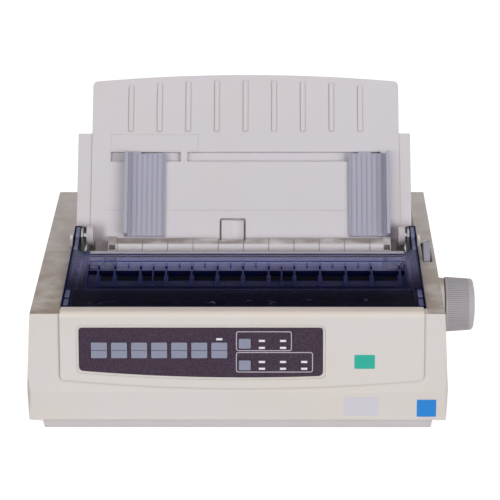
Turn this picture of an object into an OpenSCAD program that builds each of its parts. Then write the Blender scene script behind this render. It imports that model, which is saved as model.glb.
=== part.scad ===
// Narrow-carriage dot matrix printer, in millimetres.
// +X is the printer's right, +Y its rear, +Z up. The modules measure from the point of the
// table under the middle of the case, and placed() moves each piece so that the origin lies
// under the middle of the whole printer, knob included. The paper path is centred on paper_x.

/* [Case] */
// Width of the case along its top edge
case_w = 360; // [352:1:372]
// Depth of the case at the crease
case_d = 345; // [339:1:355]
// Height of the rear top edge above the table
case_h = 116; // [114:1:122]
// Fall of the top from the rear edge to the front edge
top_fall = 11; // [8:0.5:13]
// Lean of the front face between crease and top edge
front_lean = 8.7; // [6:0.1:10]
// Lean of the rear face between crease and top edge
rear_lean = 11; // [8:0.5:13]
// Height of the crease that runs round the case
crease_z = 35; // [32:1:38]
// How far each side spreads from the top edge to the crease
side_flare = 4; // [2:0.5:6]
// How far the walls turn in again below the crease
tuck = 1.5; // [0.5:0.5:3]
// Wall of the moulded case
wall = 3; // [2.4:0.1:3.4]
// Corner radius of the case seen from above
corner_r = 5; // [3:0.5:8]
// Height of the recessed plinth under the case
plinth_h = 8.8; // [8.4:0.2:10.4]
// Set-back of the plinth from the bottom edge of the case at each side
plinth_inset = 11; // [9:0.5:14]
// Diameter of each rubber foot
foot_d = 16; // [12:1:20]
// Height of each rubber foot
foot_h = 1.3; // [1:0.1:3]
// Diameter of the posts that the case screws go up into
post_d = 8; // [7:0.5:9]
// Diameter of a case screw
screw_d = 3; // [2.5:0.1:3.5]

/* [Cover bay] */
// Middle of the paper path, right of the middle of the case
paper_x = 5; // [3:0.5:6]
// Width of the bay between the two side walls of the case
bay_w = 320; // [316:1:322]
// Distance from the front top edge to the bay
bay_front = 12.8; // [10:0.2:16]
// Depth of the skirt walls that hang from the edges of the bay
skirt_h = 22; // [16:1:24]
// Thickness of those skirt walls
skirt_t = 2.2; // [1.8:0.1:2.6]
// Height of the rear wall under the separator, where fan-fold paper enters
entry_z = 94; // [88:1:98]

/* [Fascia] */
// Width of the raised fascia pad
pad_w = 317; // [300:1:318]
// How far the pad stands proud of the case
pad_proud = 2; // [1:0.2:3]
// Height of the pad down the face at its middle
pad_h = 66.2; // [58:1:68]
// Rise of the pad's curved lower edge from the middle to its corners
pad_rise = 7.5; // [4:0.5:10]
// Corner radius of the pad
pad_r = 4; // [2:0.5:6]
// Left edge of the dark overlay
overlay_x = -138; // [-142:1:-134]
// Width of the dark overlay
overlay_w = 212.5; // [206:0.5:220]
// Distance from the top of the face to the overlay
overlay_top = 11.9; // [10:0.1:14]
// Band of pad left below the overlay
overlay_band = 9.8; // [6:0.2:10]
// Thickness of the overlay
overlay_t = 0.8; // [0.5:0.1:1.2]
// Side of a large key
key_side = 14; // [12:0.2:15.4]
// Pitch of the large keys
key_pitch = 17.45; // [16.5:0.05:18]
// Left edge of the first large key
key_x = -127.3; // [-130:0.1:-124]
// Middle of the large keys, down the face
key_down = 31.9; // [29:0.1:34]
// Width of a small key
small_w = 10.5; // [9:0.1:12]
// Height of a small key
small_h = 8.9; // [8:0.1:10]
// Middle of the small keys
small_x = 6.5; // [5:0.1:8]
// Distance that a key stands out of the overlay
key_proud = 0.9; // [0.7:0.1:1.4]
// Travel of a key
key_travel = 0.6; // [0.4:0.1:0.7]
// Length of a lamp window
lamp_l = 5.4; // [5:0.1:7]
// Height of a lamp window
lamp_h = 1.9; // [1.5:0.1:2.5]
// Pitch of the lamp columns
lamp_pitch = 18.4; // [17:0.1:19]

/* [Access cover] */
// Depth of the smoked cover from its front edge to its rear lip
cover_l = 136; // [132:1:138]
// Rise of the cover above the top of the case at its front edge
cover_rise = 1.4; // [1:0.1:2]
// Slope of the cover against the table
cover_slope = 4.1; // [3.4:0.1:4.4]
// Wall of the smoked cover
cover_t = 2.4; // [2:0.1:2.8]
// Depth of the side lips of the cover
cover_lip = 7; // [5:0.5:9]
// Distance from the front edge of the cover to its ribbed tray
tray_y = 46; // [44:0.5:50]
// Length of the ribbed tray
tray_l = 58; // [50:0.5:60]
// Width of the ribbed tray
tray_w = 285.5; // [280:0.5:292]
// Depth of the ribbed tray
tray_h = 7; // [6:0.5:10]
// Pitch of the ribs in the tray
rib_pitch = 23.2; // [22.2:0.2:24]
// Thickness of a rib
rib_t = 1.6; // [1.2:0.1:2.4]
// Height of the cover hinge above the table
cover_pivot_z = 115.5; // [114.5:0.1:116]
// Distance of the cover hinge behind the middle of the case
cover_pivot_y = 10; // [8:0.5:12]
// Width of a hinge arm
arm_w = 6; // [5:0.2:6.6]
// Diameter of the hinge pins
pin_d = 5; // [4:0.2:6]

/* [Paper separator] */
// Lean of the raised separator from the vertical
lean = 34; // [30:1:38]
// Width of the separator plate
sep_w = 290.8; // [286:1:296]
// Width over both wings
wing_span = 314.6; // [310:0.2:316]
// Length of the separator up to the bend of its tip
sep_l = 103.5; // [98:0.5:108]
// Length of the grooved tip
tip_l = 52.2; // [44:0.5:56]
// Crown of the tip's curved top edge
tip_crown = 6.3; // [4:0.5:9]
// Thickness of the plate
plate_t = 2.6; // [2.2:0.1:3]
// Pitch of the ribs on the tip
crest_pitch = 27.2; // [24:0.2:29]
// Width of a rib
crest_w = 4.2; // [3:0.2:6]
// Height of the separator hinge above the table
sep_pivot_z = 118; // [117:0.1:119]
// Distance of the separator hinge behind the middle of the case
sep_pivot_y = 15; // [14:0.5:16]
// Distance of the plate behind the hinge, square to the plate
plate_back = 7.8; // [7:0.2:8.6]
// Radius of the hinge ears
ear_r = 10; // [9.4:0.2:10.6]
// Thickness of the hinge ears
ear_t = 6.2; // [5:0.2:7]
// Width of a sheet guide
guide_w = 38; // [32:0.5:42]
// Length of a sheet guide
guide_l = 81; // [78:0.5:84]
// Height of the fin on the outer edge of a sheet guide
fin_h = 12; // [8:0.5:14]
// Height of the slot that the sheet guides run in
slot_h = 9.5; // [8:0.5:11]
// Distance of the slot's lower edge from the foot of the plate
slot_up = 75.5; // [74:0.5:77]

/* [Print mechanism] */
// Diameter of the rubber platen
platen_d = 32; // [30:0.5:33]
// Length of the rubber platen
platen_l = 260; // [254:1:262]
// Distance of the platen axis in front of the middle of the case
platen_y = 50; // [49:0.5:51]
// Height of the platen axis
platen_z = 73.5; // [73:0.1:74]
// Diameter of the platen shaft
platen_shaft_d = 10; // [8:0.5:11]
// Diameter of the platen knob at its root
knob_d = 50.2; // [46:0.2:54]
// Length of the platen knob
knob_l = 25.2; // [22:0.1:32]
// Gear module of the feed train
gear_m = 1; // [0.98:0.01:1.01]
// Width of the feed gears
gear_w = 6; // [4:0.5:7]
// Thickness of the steel side frames
frame_t = 2; // [1.5:0.1:2.4]
// Height of the steel side frames
frame_top = 97; // [94:1:99]
// Radial clearance of shafts in their bores
run_fit = 0.05; // [0.03:0.01:0.1]
// Diameter of the carriage shaft
rod_d = 10; // [8:0.5:11]
// Width of the carriage block
carriage_w = 46; // [40:1:50]
// Travel of the print head along the line
head_travel = 200; // [180:1:203]
// Width of the ribbon cartridge
cart_w = 88; // [80:1:90]
// Diameter of the belt pulleys
pulley_d = 16; // [14:0.5:17]
// Width of the drive belt
belt_w = 6; // [4:0.5:7]
// Thickness of the drive belt
belt_t = 1.2; // [0.8:0.1:1.6]
// Diameter of the tractor support shaft
tractor_rod_d = 8; // [6:0.5:9]
// Across flats of the square tractor shaft
tractor_sq = 8; // [6:0.5:8.4]
// Radius of the tractor sprocket at the root of its pins
sprocket_r = 12.1; // [11.6:0.1:12.3]
// Width of a tractor
tractor_w = 18; // [16:0.5:20]

/* [Hidden] */
$fn = 48;
gap = 0.3;       // clearance between pieces that only seat
cut = 1;         // overrun of a cutting solid past the face that it cuts

// ---- where things lie, worked out from the sizes above ----
y_front = -case_d / 2;
y_back = case_d / 2;
y_ft = y_front + front_lean;                    // front top edge
y_rt = y_back - rear_lean;                      // rear top edge
z_ft = case_h - top_fall;
top_tilt = atan(top_fall / (y_rt - y_ft));
face_tilt = atan(front_lean / (z_ft - crease_z));
function top_z(y) = z_ft + (y - y_ft) * tan(top_tilt);
function side_x(z) = case_w / 2 + side_flare * (case_h - z) / (case_h - crease_z);

bay_x0 = paper_x - bay_w / 2;
bay_x1 = paper_x + bay_w / 2;
bay_y = y_ft + bay_front;

cover_y0 = bay_y + gap;                         // front edge of the cover
cover_z0 = top_z(cover_y0) + cover_rise;
function cover_z(y) = cover_z0 + (y - cover_y0) * tan(cover_slope);
cover_y1 = cover_y0 + cover_l * cos(cover_slope);
cover_x0 = bay_x0 + gap;
cover_x1 = bay_x1 - gap;

ear_mid = sep_w / 2 - ear_t / 2 + 3.6;          // middle of each separator ear from paper_x
function ear_x(side) = paper_x + side * ear_mid + (side < 0 ? 1.3 : 0);
frame_in = ear_mid + ear_t / 2 + 2;             // inner faces of the side frames from paper_x
frame_xl = paper_x - frame_in - frame_t;
frame_xr = paper_x + frame_in + frame_t;
frame_z0 = 16;                                  // the frames stand on the chassis plate
chassis_z = 14;

platen_r = platen_d / 2;
pinion_n = 12;
platen_n = 56;
idler_n = 46;
tractor_n = 24;
function pitch_r(n) = n * gear_m / 2;
gear_x = frame_xl - 22;                         // left faces of the feed gears
motor_turn = 50;                                // the pinion lies this far below the front
pinion_off = pitch_r(platen_n) + pitch_r(pinion_n);
pinion_y = -platen_y - pinion_off * sin(motor_turn);
pinion_z = platen_z - pinion_off * cos(motor_turn);
drive_y = -platen_y + 84;
drive_z = platen_z + 2;
support_y = drive_y + 36;
// The idler sits below the line from the platen to the tractor shaft.
span = norm([drive_y + platen_y, drive_z - platen_z]);
span_turn = atan2(drive_z - platen_z, drive_y + platen_y);
arm_a = pitch_r(platen_n) + pitch_r(idler_n);
arm_b = pitch_r(tractor_n) + pitch_r(idler_n);
idler_turn = span_turn - acos((span * span + arm_a * arm_a - arm_b * arm_b) / (2 * span * arm_a));
idler_y = -platen_y + arm_a * cos(idler_turn);
idler_z = platen_z + arm_a * sin(idler_turn);
idler_to_drive = atan2(drive_z - idler_z, drive_y - idler_y);

rod_y = -platen_y - 50;
rod_z = platen_z - 17.5;
pulley_r = pulley_d / 2;
pulley_z = frame_z0 + pulley_r + 8;
belt_y = rod_y - 9;
head_x = paper_x - head_travel / 2;             // the head rests at its left end
idler_x = frame_xl + frame_t + 16;
motor_x = frame_xr - frame_t - 20;

left_tractor_x = paper_x - 121;
right_tractor_x = paper_x + 121;
lever_x = (side_x(case_h) - wall + bay_x1 + skirt_t) / 2;
lever_y = -platen_y + 32;
lever_z = platen_z + 4;

// ---- helpers ----
// From the middle of the case to the middle of the whole printer.
module placed() translate([-middle_x, 0, 0]) children();
module box(x0, x1, y0, y1, z0, z1)
    translate([x0, y0, z0]) cube([x1 - x0, y1 - y0, z1 - z0]);
module x_rod(d, x0, x1, y, z)
    translate([x0, y, z]) rotate([0, 90, 0]) cylinder(d = d, h = x1 - x0);
module y_rod(d, y0, y1, x, z)
    translate([x, y1, z]) rotate([90, 0, 0]) cylinder(d = d, h = y1 - y0);
// A side outline given as Y and Z, carried from x0 to x1.
module along_x(x0, x1)
    translate([x0, 0, 0]) rotate([90, 0, 90]) linear_extrude(x1 - x0) children();
// A front outline given as X and Z, carried from y0 to y1.
module along_y(y0, y1)
    translate([0, y1, 0]) rotate([90, 0, 0]) linear_extrude(y1 - y0) children();
function arc(cx, cy, r, a0, a1, n) =
    [for (i = [0:n]) let (a = a0 + (a1 - a0) * i / n) [cx + r * cos(a), cy + r * sin(a)]];
module rounded(w, d, r) {
    square([w - 2 * r, d], center = true);
    square([w, d - 2 * r], center = true);
    for (x = [-1, 1], y = [-1, 1])
        translate([x * (w / 2 - r), y * (d / 2 - r)]) circle(r);
}
// The front face: x is X, y runs up the face from its top edge, z points out.
module on_face() translate([0, y_ft, z_ft]) rotate([90 - face_tilt, 0, 0]) children();
// The cover: y runs back from its front edge, z is square to its upper face.
module on_cover() translate([0, cover_y0, cover_z0]) rotate([cover_slope, 0, 0]) children();
// The raised separator: y runs up the plate from its foot, z is out of its front.
module on_separator()
    translate([0, sep_pivot_y, sep_pivot_z]) rotate([90 - lean, 0, 0])
        translate([0, 0, -plate_back]) children();

// Spur gear with straight-sided teeth; a tooth points along +X.
module gear(n, w, bore) {
    r = pitch_r(n);
    tip = r + 0.8 * gear_m;
    root = r - 1.15 * gear_m;
    pitch = 360 / n;
    difference() {
        linear_extrude(w) polygon([for (i = [0:n - 1]) each [
            [root * cos((i - 0.29) * pitch), root * sin((i - 0.29) * pitch)],
            [tip * cos((i - 0.11) * pitch), tip * sin((i - 0.11) * pitch)],
            [tip * cos((i + 0.11) * pitch), tip * sin((i + 0.11) * pitch)],
            [root * cos((i + 0.29) * pitch), root * sin((i + 0.29) * pitch)]]]);
        translate([0, 0, -cut]) cylinder(d = bore, h = w + 2 * cut);
    }
}
// A gear on an X axis, turned so that a tooth lies at turn degrees above +Y.
module x_gear(n, w, bore, x, y, z, turn)
    translate([x, y, z]) rotate([90, 0, 90]) rotate([0, 0, turn]) gear(n, w, bore);
// Turn of gear b so that it meshes with gear a, where dir points from a to b.
function mesh(turn_a, n_a, n_b, dir) =
    dir + 180 - 360 / n_b * ((turn_a - dir) * n_a / 360 + 0.5);

// ---- case ----
module side_outline(t)
    polygon([[y_front + tuck + t, plinth_h - (t > 0 ? cut : 0)], [y_front + t, crease_z],
        [y_ft + t, z_ft - t], [y_rt - t, case_h - t], [y_back - t, crease_z],
        [y_back - tuck - t, plinth_h - (t > 0 ? cut : 0)]]);
module front_outline(t) {
    wide = case_w / 2 + side_flare - t;
    top = case_h + cut;
    top_half = side_x(top) - t;
    low_z = plinth_h - cut;
    polygon([[-wide + tuck, low_z], [-wide, crease_z], [-top_half, top],
        [top_half, top], [wide, crease_z], [wide - tuck, low_z]]);
}
module case_form(t) intersection() {
    along_x(-case_w, case_w) side_outline(t);
    along_y(-case_d, case_d) front_outline(t);
    linear_extrude(case_h + 2 * cut)
        rounded(case_w + 2 * side_flare - 2 * t, case_d - 2 * t, corner_r);
}
module pad_outline(down, left, width, below, top_r = 0) {
    // A panel whose lower edge follows the pad's arc, raised by below.
    half = pad_w / 2;
    r = half * half / (2 * pad_rise) + pad_rise / 2;
    function low(x) = -pad_h + below + r - sqrt(r * r - (x - paper_x) * (x - paper_x));
    steps = 24;
    c = pad_r;
    polygon(concat(
        top_r > 0 ? arc(left + top_r, -down - top_r, top_r, 90, 180, 5) : [[left, -down]],
        arc(left + c, low(left + c) + c, c, 180, 262, 5),
        [for (i = [1:steps - 1]) let (x = left + c + (width - 2 * c) * i / steps) [x, low(x)]],
        arc(left + width - c, low(left + width - c) + c, c, 278, 360, 5),
        top_r > 0 ? arc(left + width - top_r, -down - top_r, top_r, 0, 90, 5)
            : [[left + width, -down]]));
}
module fascia_pad() {
    on_face() translate([0, 0, -wall])
        linear_extrude(wall + pad_proud) pad_outline(0, paper_x - pad_w / 2 - 1, pad_w, 0);
    // The ledge over the top edge, back to the cover.
    along_x(paper_x - pad_w / 2 - 1 + gap, paper_x + pad_w / 2 - 1 - gap)
        polygon([[y_ft - pad_proud * cos(face_tilt), z_ft - wall],
            [y_ft - pad_proud * cos(face_tilt), top_z(bay_y) + cover_rise],
            [bay_y, top_z(bay_y) + cover_rise], [bay_y, z_ft - wall]]);
}
// What the rounded front top edge of the pad takes away.
edge_r = 6;
module front_edge_cut() {
    turn = 90 - face_tilt;
    top = top_z(bay_y) + cover_rise;
    // Where the front of the pad would meet its top.
    corner_y = y_ft - pad_proud * cos(face_tilt)
        + (top - z_ft - pad_proud * sin(face_tilt)) * tan(face_tilt);
    mid = [corner_y + edge_r * tan(turn / 2), top - edge_r];
    along_x(paper_x - pad_w / 2 - 2, paper_x + pad_w / 2) polygon(concat(
        arc(mid.x, mid.y, edge_r, 90, 90 + turn, 7), [[mid.x - 2 * edge_r, mid.y], [mid.x - 2 * edge_r,
        top + edge_r], [mid.x, top + edge_r]]));
}
post_x = case_w / 2 - 11;
post_y = case_d / 2 - 24;
module case_posts()
    for (x = [-post_x, post_x], y = [-post_y, post_y]) difference() {
        translate([x, y, plinth_h + wall + 6])
            cylinder(d = post_d, h = top_z(y) - wall / 2 - plinth_h - wall - 6);
        translate([x, y, 0]) cylinder(d = screw_d + 2 * run_fit, h = plinth_h + wall + 22);
    }
hinge_boss_t = 3;
// An upright ear beside the bay that carries one hinge pin of the cover.
module hinge_boss(x) difference() {
    union() {
        x_rod(12, x, x + hinge_boss_t, cover_pivot_y, cover_pivot_z);
        box(x, x + hinge_boss_t, cover_pivot_y - 6, cover_pivot_y + 6,
            top_z(cover_pivot_y) - wall, cover_pivot_z);
    }
    x_rod(pin_d + 2 * run_fit, x - cut, x + hinge_boss_t + cut, cover_pivot_y, cover_pivot_z);
}
module key_hole(x, down, w, h)
    translate([x - w / 2 - gap, -down - h / 2 - gap, -wall - cut])
        cube([w + 2 * gap, h + 2 * gap, wall + pad_proud + 2 * cut]);
small_down = [26, 45.3];
key_mid = [for (i = [0:6]) key_x + key_side / 2 + i * key_pitch];
lamp_x = small_x + 14.9;
lamp_down = [23.6, 29.8, 42.4, 48.5];
// Lamps per row: two beside the upper small key, three beside the lower one.
lamps = concat([for (r = [0, 1], c = [0, 1]) [lamp_x + c * lamp_pitch, lamp_down[r]]],
    [for (r = [2, 3], c = [0:2]) [lamp_x + c * lamp_pitch, lamp_down[r]]],
    [[key_mid[6], key_down - key_side / 2 - 2.8]]);
module all_keys_cut() {
    for (x = key_mid) key_hole(x, key_down, key_side, key_side);
    for (d = small_down) key_hole(small_x, d, small_w, small_h);
}
lever_slot = [-platen_y + 14, -platen_y + 72];
socket_z = 24;
inlet_x = 112;
switch_x = 146;
port_x = -96;
module rear_cuts() {
    box(inlet_x - 14 - gap, switch_x + 10 + gap, y_back - 16, y_back + cut,
        socket_z - gap, socket_z + 22 + gap);
    box(port_x - 36 - gap, port_x + 36 + gap, y_back - 16, y_back + cut,
        socket_z - gap, socket_z + 16 + gap);
    for (i = [-6:6]) translate([i * 9 + paper_x, 0, 0])
        box(-2, 2, y_back - 16, y_back + cut, crease_z + 22, crease_z + 44);
}
overlay_r = 2.6;      // upper corners of the overlay
step_w = 2.2;
step_d = 0.35;
module upper_case() color("#d6d1ca") placed() difference() {
    union() {
        difference() { case_form(0); case_form(wall); }
        fascia_pad();
        case_posts();
        // Skirt walls along both sides of the bay.
        for (x = [bay_x0 - skirt_t, bay_x1]) along_x(x, x + skirt_t)
            polygon([[bay_y - wall, top_z(bay_y) - wall / 2], [bay_y - wall, top_z(bay_y) - skirt_h],
                [y_rt - wall / 2, top_z(y_rt) - skirt_h], [y_rt - wall / 2, top_z(y_rt) - wall / 2]]);
        hinge_boss(cover_x0 - gap - hinge_boss_t);
        hinge_boss(cover_x1 + gap);
        // Round collar on the side wall behind the platen knob.
        x_rod(collar_d, side_x(platen_z) - 2, knob_x - 0.8, -platen_y, platen_z);
    }
    // The bay, open at the top and at the rear above the paper entry.
    box(bay_x0, bay_x1, bay_y, y_back + cut, entry_z, case_h + 4 * cut);
    on_face() {
        translate([0, 0, pad_proud - overlay_t])
            linear_extrude(overlay_t + cut)
                pad_outline(overlay_top, overlay_x, overlay_w, overlay_band, overlay_r);
        // Shallow step all round the overlay.
        translate([0, 0, pad_proud - step_d]) linear_extrude(step_d + cut)
            pad_outline(overlay_top - step_w, overlay_x - step_w, overlay_w + 2 * step_w,
                overlay_band - step_w, overlay_r + step_w);
        all_keys_cut();
        for (l = lamps) key_hole(l.x, l.y, lamp_l, lamp_h);
    }
    front_edge_cut();
    // Knob opening and lever slot in the right-hand side.
    x_rod(platen_shaft_d + 4, bay_x1 + skirt_t + cut, case_w, -platen_y, platen_z);
    box(lever_x - 3.4, lever_x + 5, lever_slot[0], lever_slot[1], case_h - 20, case_h + cut);
    rear_cuts();
}
// The tray under the printer: a wide pan, and below it the recessed plinth.
module plinth_form(t) {
    x0 = case_w / 2 + side_flare - tuck - plinth_inset;
    // In front and behind it reaches under the walls of the case, and steps in above.
    y0 = case_d / 2 - tuck - 1;
    y1 = y0 - wall - 2;
    step = plinth_h - gap - t;
    draft = 2;
    intersection() {
        along_x(-case_w, case_w) polygon([[-y0 + draft / 2 + t, foot_h + t], [-y0 + t, step],
            [-y1 + t, step], [-y1 + t, plinth_h + wall], [y1 - t, plinth_h + wall],
            [y1 - t, step], [y0 - t, step], [y0 - draft / 2 - t, foot_h + t]]);
        along_y(-case_d, case_d) polygon([[-x0 + draft + t, foot_h + t], [-x0 + t, plinth_h + wall],
            [x0 - t, plinth_h + wall], [x0 - draft - t, foot_h + t]]);
    }
}
stand_h = chassis_z - plinth_h;
module lower_case() color("#c6c0c4") placed() difference() {
    pan_x = case_w / 2 + side_flare - tuck - wall - gap;
    pan_y = case_d / 2 - tuck - wall - gap;
    union() {
        plinth_form(0);
        box(-pan_x, pan_x, -pan_y, pan_y, plinth_h, plinth_h + wall / 2);
        // Stands for the chassis, the board and the transformer.
        for (x = [-130, 0, 130], y = [-120, -40, 30])
            translate([x, y, foot_h + wall]) cylinder(d = 10, h = chassis_z - foot_h - wall);
        for (x = [-130, -20, 80], y = [66, 140])
            translate([x, y, foot_h + wall]) cylinder(d = 7, h = chassis_z - foot_h - wall);
        for (x = [-post_x, post_x], y = [-post_y, post_y])
            translate([x, y, plinth_h]) cylinder(d = post_d + 3, h = wall + 6 - gap);
    }
    intersection() {
        plinth_form(wall / 2);
        difference() {
            box(-case_w, case_w, -case_d, case_d, foot_h + wall / 2 + 0.5, case_h);
            for (x = [-130, 0, 130], y = [-120, -40, 30])
                translate([x, y, 0]) cylinder(d = 10, h = case_h);
            for (x = [-130, -20, 80], y = [66, 140])
                translate([x, y, 0]) cylinder(d = 7, h = case_h);
        }
    }
    for (x = [-post_x, post_x], y = [-post_y, post_y]) translate([x, y, 0]) {
        cylinder(d = screw_d + 2 * run_fit, h = case_h);
        cylinder(d = 2 * screw_d + 2 * gap, h = plinth_h);
    }
}
foot_at = [case_w / 2 - 34, case_d / 2 - 34];
module rubber_feet() color("#2b2a2c") placed()
    for (x = [-1, 1], y = [-1, 1])
        translate([x * foot_at.x, y * foot_at.y, 0]) cylinder(d = foot_d, h = foot_h);
module case_screws() color("#8d8f92") placed()
    for (x = [-post_x, post_x], y = [-post_y, post_y]) translate([x, y, 0]) {
        translate([0, 0, plinth_h - 2]) cylinder(d = 2 * screw_d, h = 2);
        translate([0, 0, plinth_h - 1]) cylinder(d = screw_d, h = wall + 18);
    }

// ---- control panel ----
module control_overlay() color("#433844") placed() on_face() difference() {
    translate([0, 0, pad_proud - overlay_t])
        linear_extrude(overlay_t) offset_panel();
    all_keys_cut();
    for (l = lamps) key_hole(l.x, l.y, lamp_l - 2 * gap, lamp_h - 2 * gap);
}
module offset_panel()
    pad_outline(overlay_top + 0.15, overlay_x + 0.15, overlay_w - 0.3, overlay_band + 0.15, overlay_r);
collar_t = 1.2;       // the collars lie behind the moulded face
line_w = 0.6;
key_root = pad_proud + wall + gap + collar_t;   // depth of the keys behind the pad's front
module key_cap(x, down, w, h) color("#a3a5b7") placed() on_face()
    translate([x, -down, pad_proud - key_root]) {
        difference() {
            linear_extrude(key_root + key_proud) rounded(w, h, 1);
            // Fine line across the middle of the large caps.
            if (w == key_side) translate([0.4 - w / 2, -line_w / 2, key_root + key_proud - line_w])
                cube([w - 0.8, line_w, 2 * line_w]);
        }
        // Collar that keeps the key behind the moulded face.
        linear_extrude(collar_t) rounded(w + 2 * collar_t, h + 2 * collar_t, 1);
    }
module key_1() key_cap(key_mid[0], key_down, key_side, key_side);
module key_2() key_cap(key_mid[1], key_down, key_side, key_side);
module key_3() key_cap(key_mid[2], key_down, key_side, key_side);
module key_4() key_cap(key_mid[3], key_down, key_side, key_side);
module key_5() key_cap(key_mid[4], key_down, key_side, key_side);
module key_6() key_cap(key_mid[5], key_down, key_side, key_side);
module key_7() key_cap(key_mid[6], key_down, key_side, key_side);
module key_8() key_cap(small_x, small_down[0], small_w, small_h);
module key_9() key_cap(small_x, small_down[1], small_w, small_h);
board_in = 9;         // depth of the key board behind the pad's front
switch_h = board_in - key_root - key_travel - gap;
module lamp_windows() color("#8f93a6") placed() on_face()
    for (l = lamps) translate([l.x, -l.y, pad_proud - board_in])
        linear_extrude(board_in + 0.15) square([lamp_l, lamp_h], center = true);
module panel_board() color("#2f6a3f") placed() on_face() difference() {
    translate([0, 0, pad_proud - board_in - 1.6]) union() {
        translate([overlay_x + 4, -pad_h + 8, 0]) cube([overlay_w - 8, pad_h - 16, 1.6]);
        // One switch under each key, and the standing posts of the board.
        for (x = key_mid) translate([x - 3, -key_down - 3, 1.6]) cube([6, 6, switch_h]);
        for (d = small_down) translate([small_x - 3, -d - 3, 1.6]) cube([6, 6, switch_h]);
    }
}

// ---- smoked access cover ----
function rib_at(i) = paper_x - 1 + i * rib_pitch;
rib_x = concat([rib_at(-5) - 15], [for (i = [-5:5]) rib_at(i)], [rib_at(5) + 25.5]);
half_ribs = [-3.5, 1.5];                        // bays with a full rib in their middle
tick_ribs = [-4.5, -2.5, -1.5, -0.5, 0.5, 2.5, 3.5, 4.5];
tray_x0 = paper_x - tray_w / 2 + 2.2;
tray_x1 = paper_x + tray_w / 2 + 2.2;
lip_back = 12;        // the lip lies this far in front of the rear ends of the sides
arm_reach = 19;       // the arms run on this far behind the hinge
arm_inset = 0.2;      // the arms lie this far inside the sides of the cover
module cover_arm(x) difference() {
    y0 = cover_y1 - 14;
    along_x(x, x + arm_w) polygon([[y0, cover_z(y0) - cover_lip], [y0, cover_z(y0)],
        [cover_y1 + 4, cover_z(cover_y1) + 0.5],
        [cover_pivot_y + arm_reach - 2.5, cover_pivot_z + 8.5],
        [cover_pivot_y + arm_reach - 0.5, cover_pivot_z + 1],
        [cover_pivot_y + 3, cover_pivot_z - 6], [cover_pivot_y - 5, cover_pivot_z - 6],
        [cover_y1, cover_z(cover_y1) - cover_lip]]);
    // The arm is a channel, open upwards in front of the hinge.
    along_x(x + 1.4, x + arm_w - 1.4) polygon([[y0 + 16, cover_z(y0 + 16) - 1],
        [y0 + 16, cover_pivot_z + 20], [cover_pivot_y - 5, cover_pivot_z + 20],
        [cover_pivot_y - 5, cover_pivot_z + 3]]);
    x_rod(pin_d + 2 * run_fit, x - cut, x + arm_w + cut, cover_pivot_y, cover_pivot_z);
}
module access_cover() color([0.22, 0.28, 0.5, 0.75]) placed() {
    ramp_y = tray_y + tray_l - 11;
    lip_y = cover_l - lip_back;
    on_cover() difference() {
        union() {
            difference() {
                box(cover_x0, cover_x1, 0, cover_l, -cover_lip, 0);
                box(cover_x0 + cover_t, cover_x1 - cover_t, cover_t, cover_l + cut,
                    -cover_lip - cut, -cover_t);
                // Between its sides the cover ends at the lip, with round inner corners.
                translate([(cover_x0 + cover_x1) / 2, lip_y + lip_back, -cover_lip - cut])
                    linear_extrude(cover_lip + 2 * cut)
                        rounded(cover_x1 - cover_x0 - 2 * arm_w - 2, 2 * lip_back, 5);
            }
            // Walls and floor of the sunk tray, whose rear side is a ramp.
            along_x(tray_x0 - cover_t, tray_x1 + cover_t)
                polygon([[tray_y - cover_t, -cover_t / 2], [tray_y - cover_t, -tray_h - cover_t],
                    [ramp_y, -tray_h - cover_t], [tray_y + tray_l + cover_t, -cover_t],
                    [tray_y + tray_l + cover_t, -cover_t / 2]]);
            // Bead along the rear lip.
            box(cover_x0 + arm_w + 6, cover_x1 - arm_w - 6, lip_y - 2.6, lip_y + 0.2, -cover_t - 2, 1.4);
        }
        // The tray is cut out around its ribs.
        difference() {
            along_x(tray_x0, tray_x1)
                polygon([[tray_y, cut], [tray_y, -tray_h], [ramp_y, -tray_h],
                    [tray_y + tray_l, -1], [tray_y + tray_l, cut]]);
            for (x = rib_x) box(x - rib_t / 2, x + rib_t / 2, tray_y - cut, tray_y + tray_l, -tray_h, -1.6);
            for (i = half_ribs) box(rib_at(i) - 0.6, rib_at(i) + 0.6, tray_y - cut, tray_y + tray_l,
                -tray_h, -2);
            for (i = tick_ribs) box(rib_at(i) - 0.5, rib_at(i) + 0.5, tray_y + tray_l - 7,
                tray_y + tray_l, -tray_h, -1.6);
        }
        // Openings in the tray floor between the ribs.
        for (i = [0:len(rib_x) - 2])
            box(rib_x[i] + rib_t / 2 + 1, rib_x[i + 1] - rib_t / 2 - 1, tray_y + 28, tray_y + 44,
                -tray_h - cover_t - cut, -tray_h + cut / 4);
        // Finger pads sunk in both front corners.
        for (x = [cover_x0 + 1.2, cover_x1 - 6.4]) {
            box(x, x + 5.2, 4.6, 23, -1, cut);
            box(x, x + 5.2, 25.6, 41, -1, cut);
        }
    }
    cover_arm(cover_x0 + arm_inset);
    cover_arm(cover_x1 - arm_w - arm_inset);
}
module cover_foam() color("#17171f") placed() on_cover() difference() {
    box(cover_x0 + cover_t + 7, cover_x1 - cover_t - 7, cover_t + 1, tray_y - cover_t - 1,
        -cover_t - 4, -cover_t);
    translate([paper_x - 131, 8, -20]) cylinder(d = 7, h = 40);
}
module hinge_pins() color("#9a9ba3") placed() {
    // Cover pins, held in the two bosses of the case.
    x_rod(pin_d, cover_x0 - gap - hinge_boss_t, cover_x0 + arm_w - 0.3, cover_pivot_y, cover_pivot_z);
    x_rod(pin_d, cover_x1 - arm_w + 0.3, cover_x1 + gap + hinge_boss_t, cover_pivot_y, cover_pivot_z);
    // Separator pins, held in the tabs of the side frames.
    x_rod(pin_d, frame_xl, ear_x(-1) + ear_t / 2 - 1, sep_pivot_y, sep_pivot_z);
    x_rod(pin_d, ear_x(1) - ear_t / 2 + 1, frame_xr, sep_pivot_y, sep_pivot_z);
}

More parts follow.
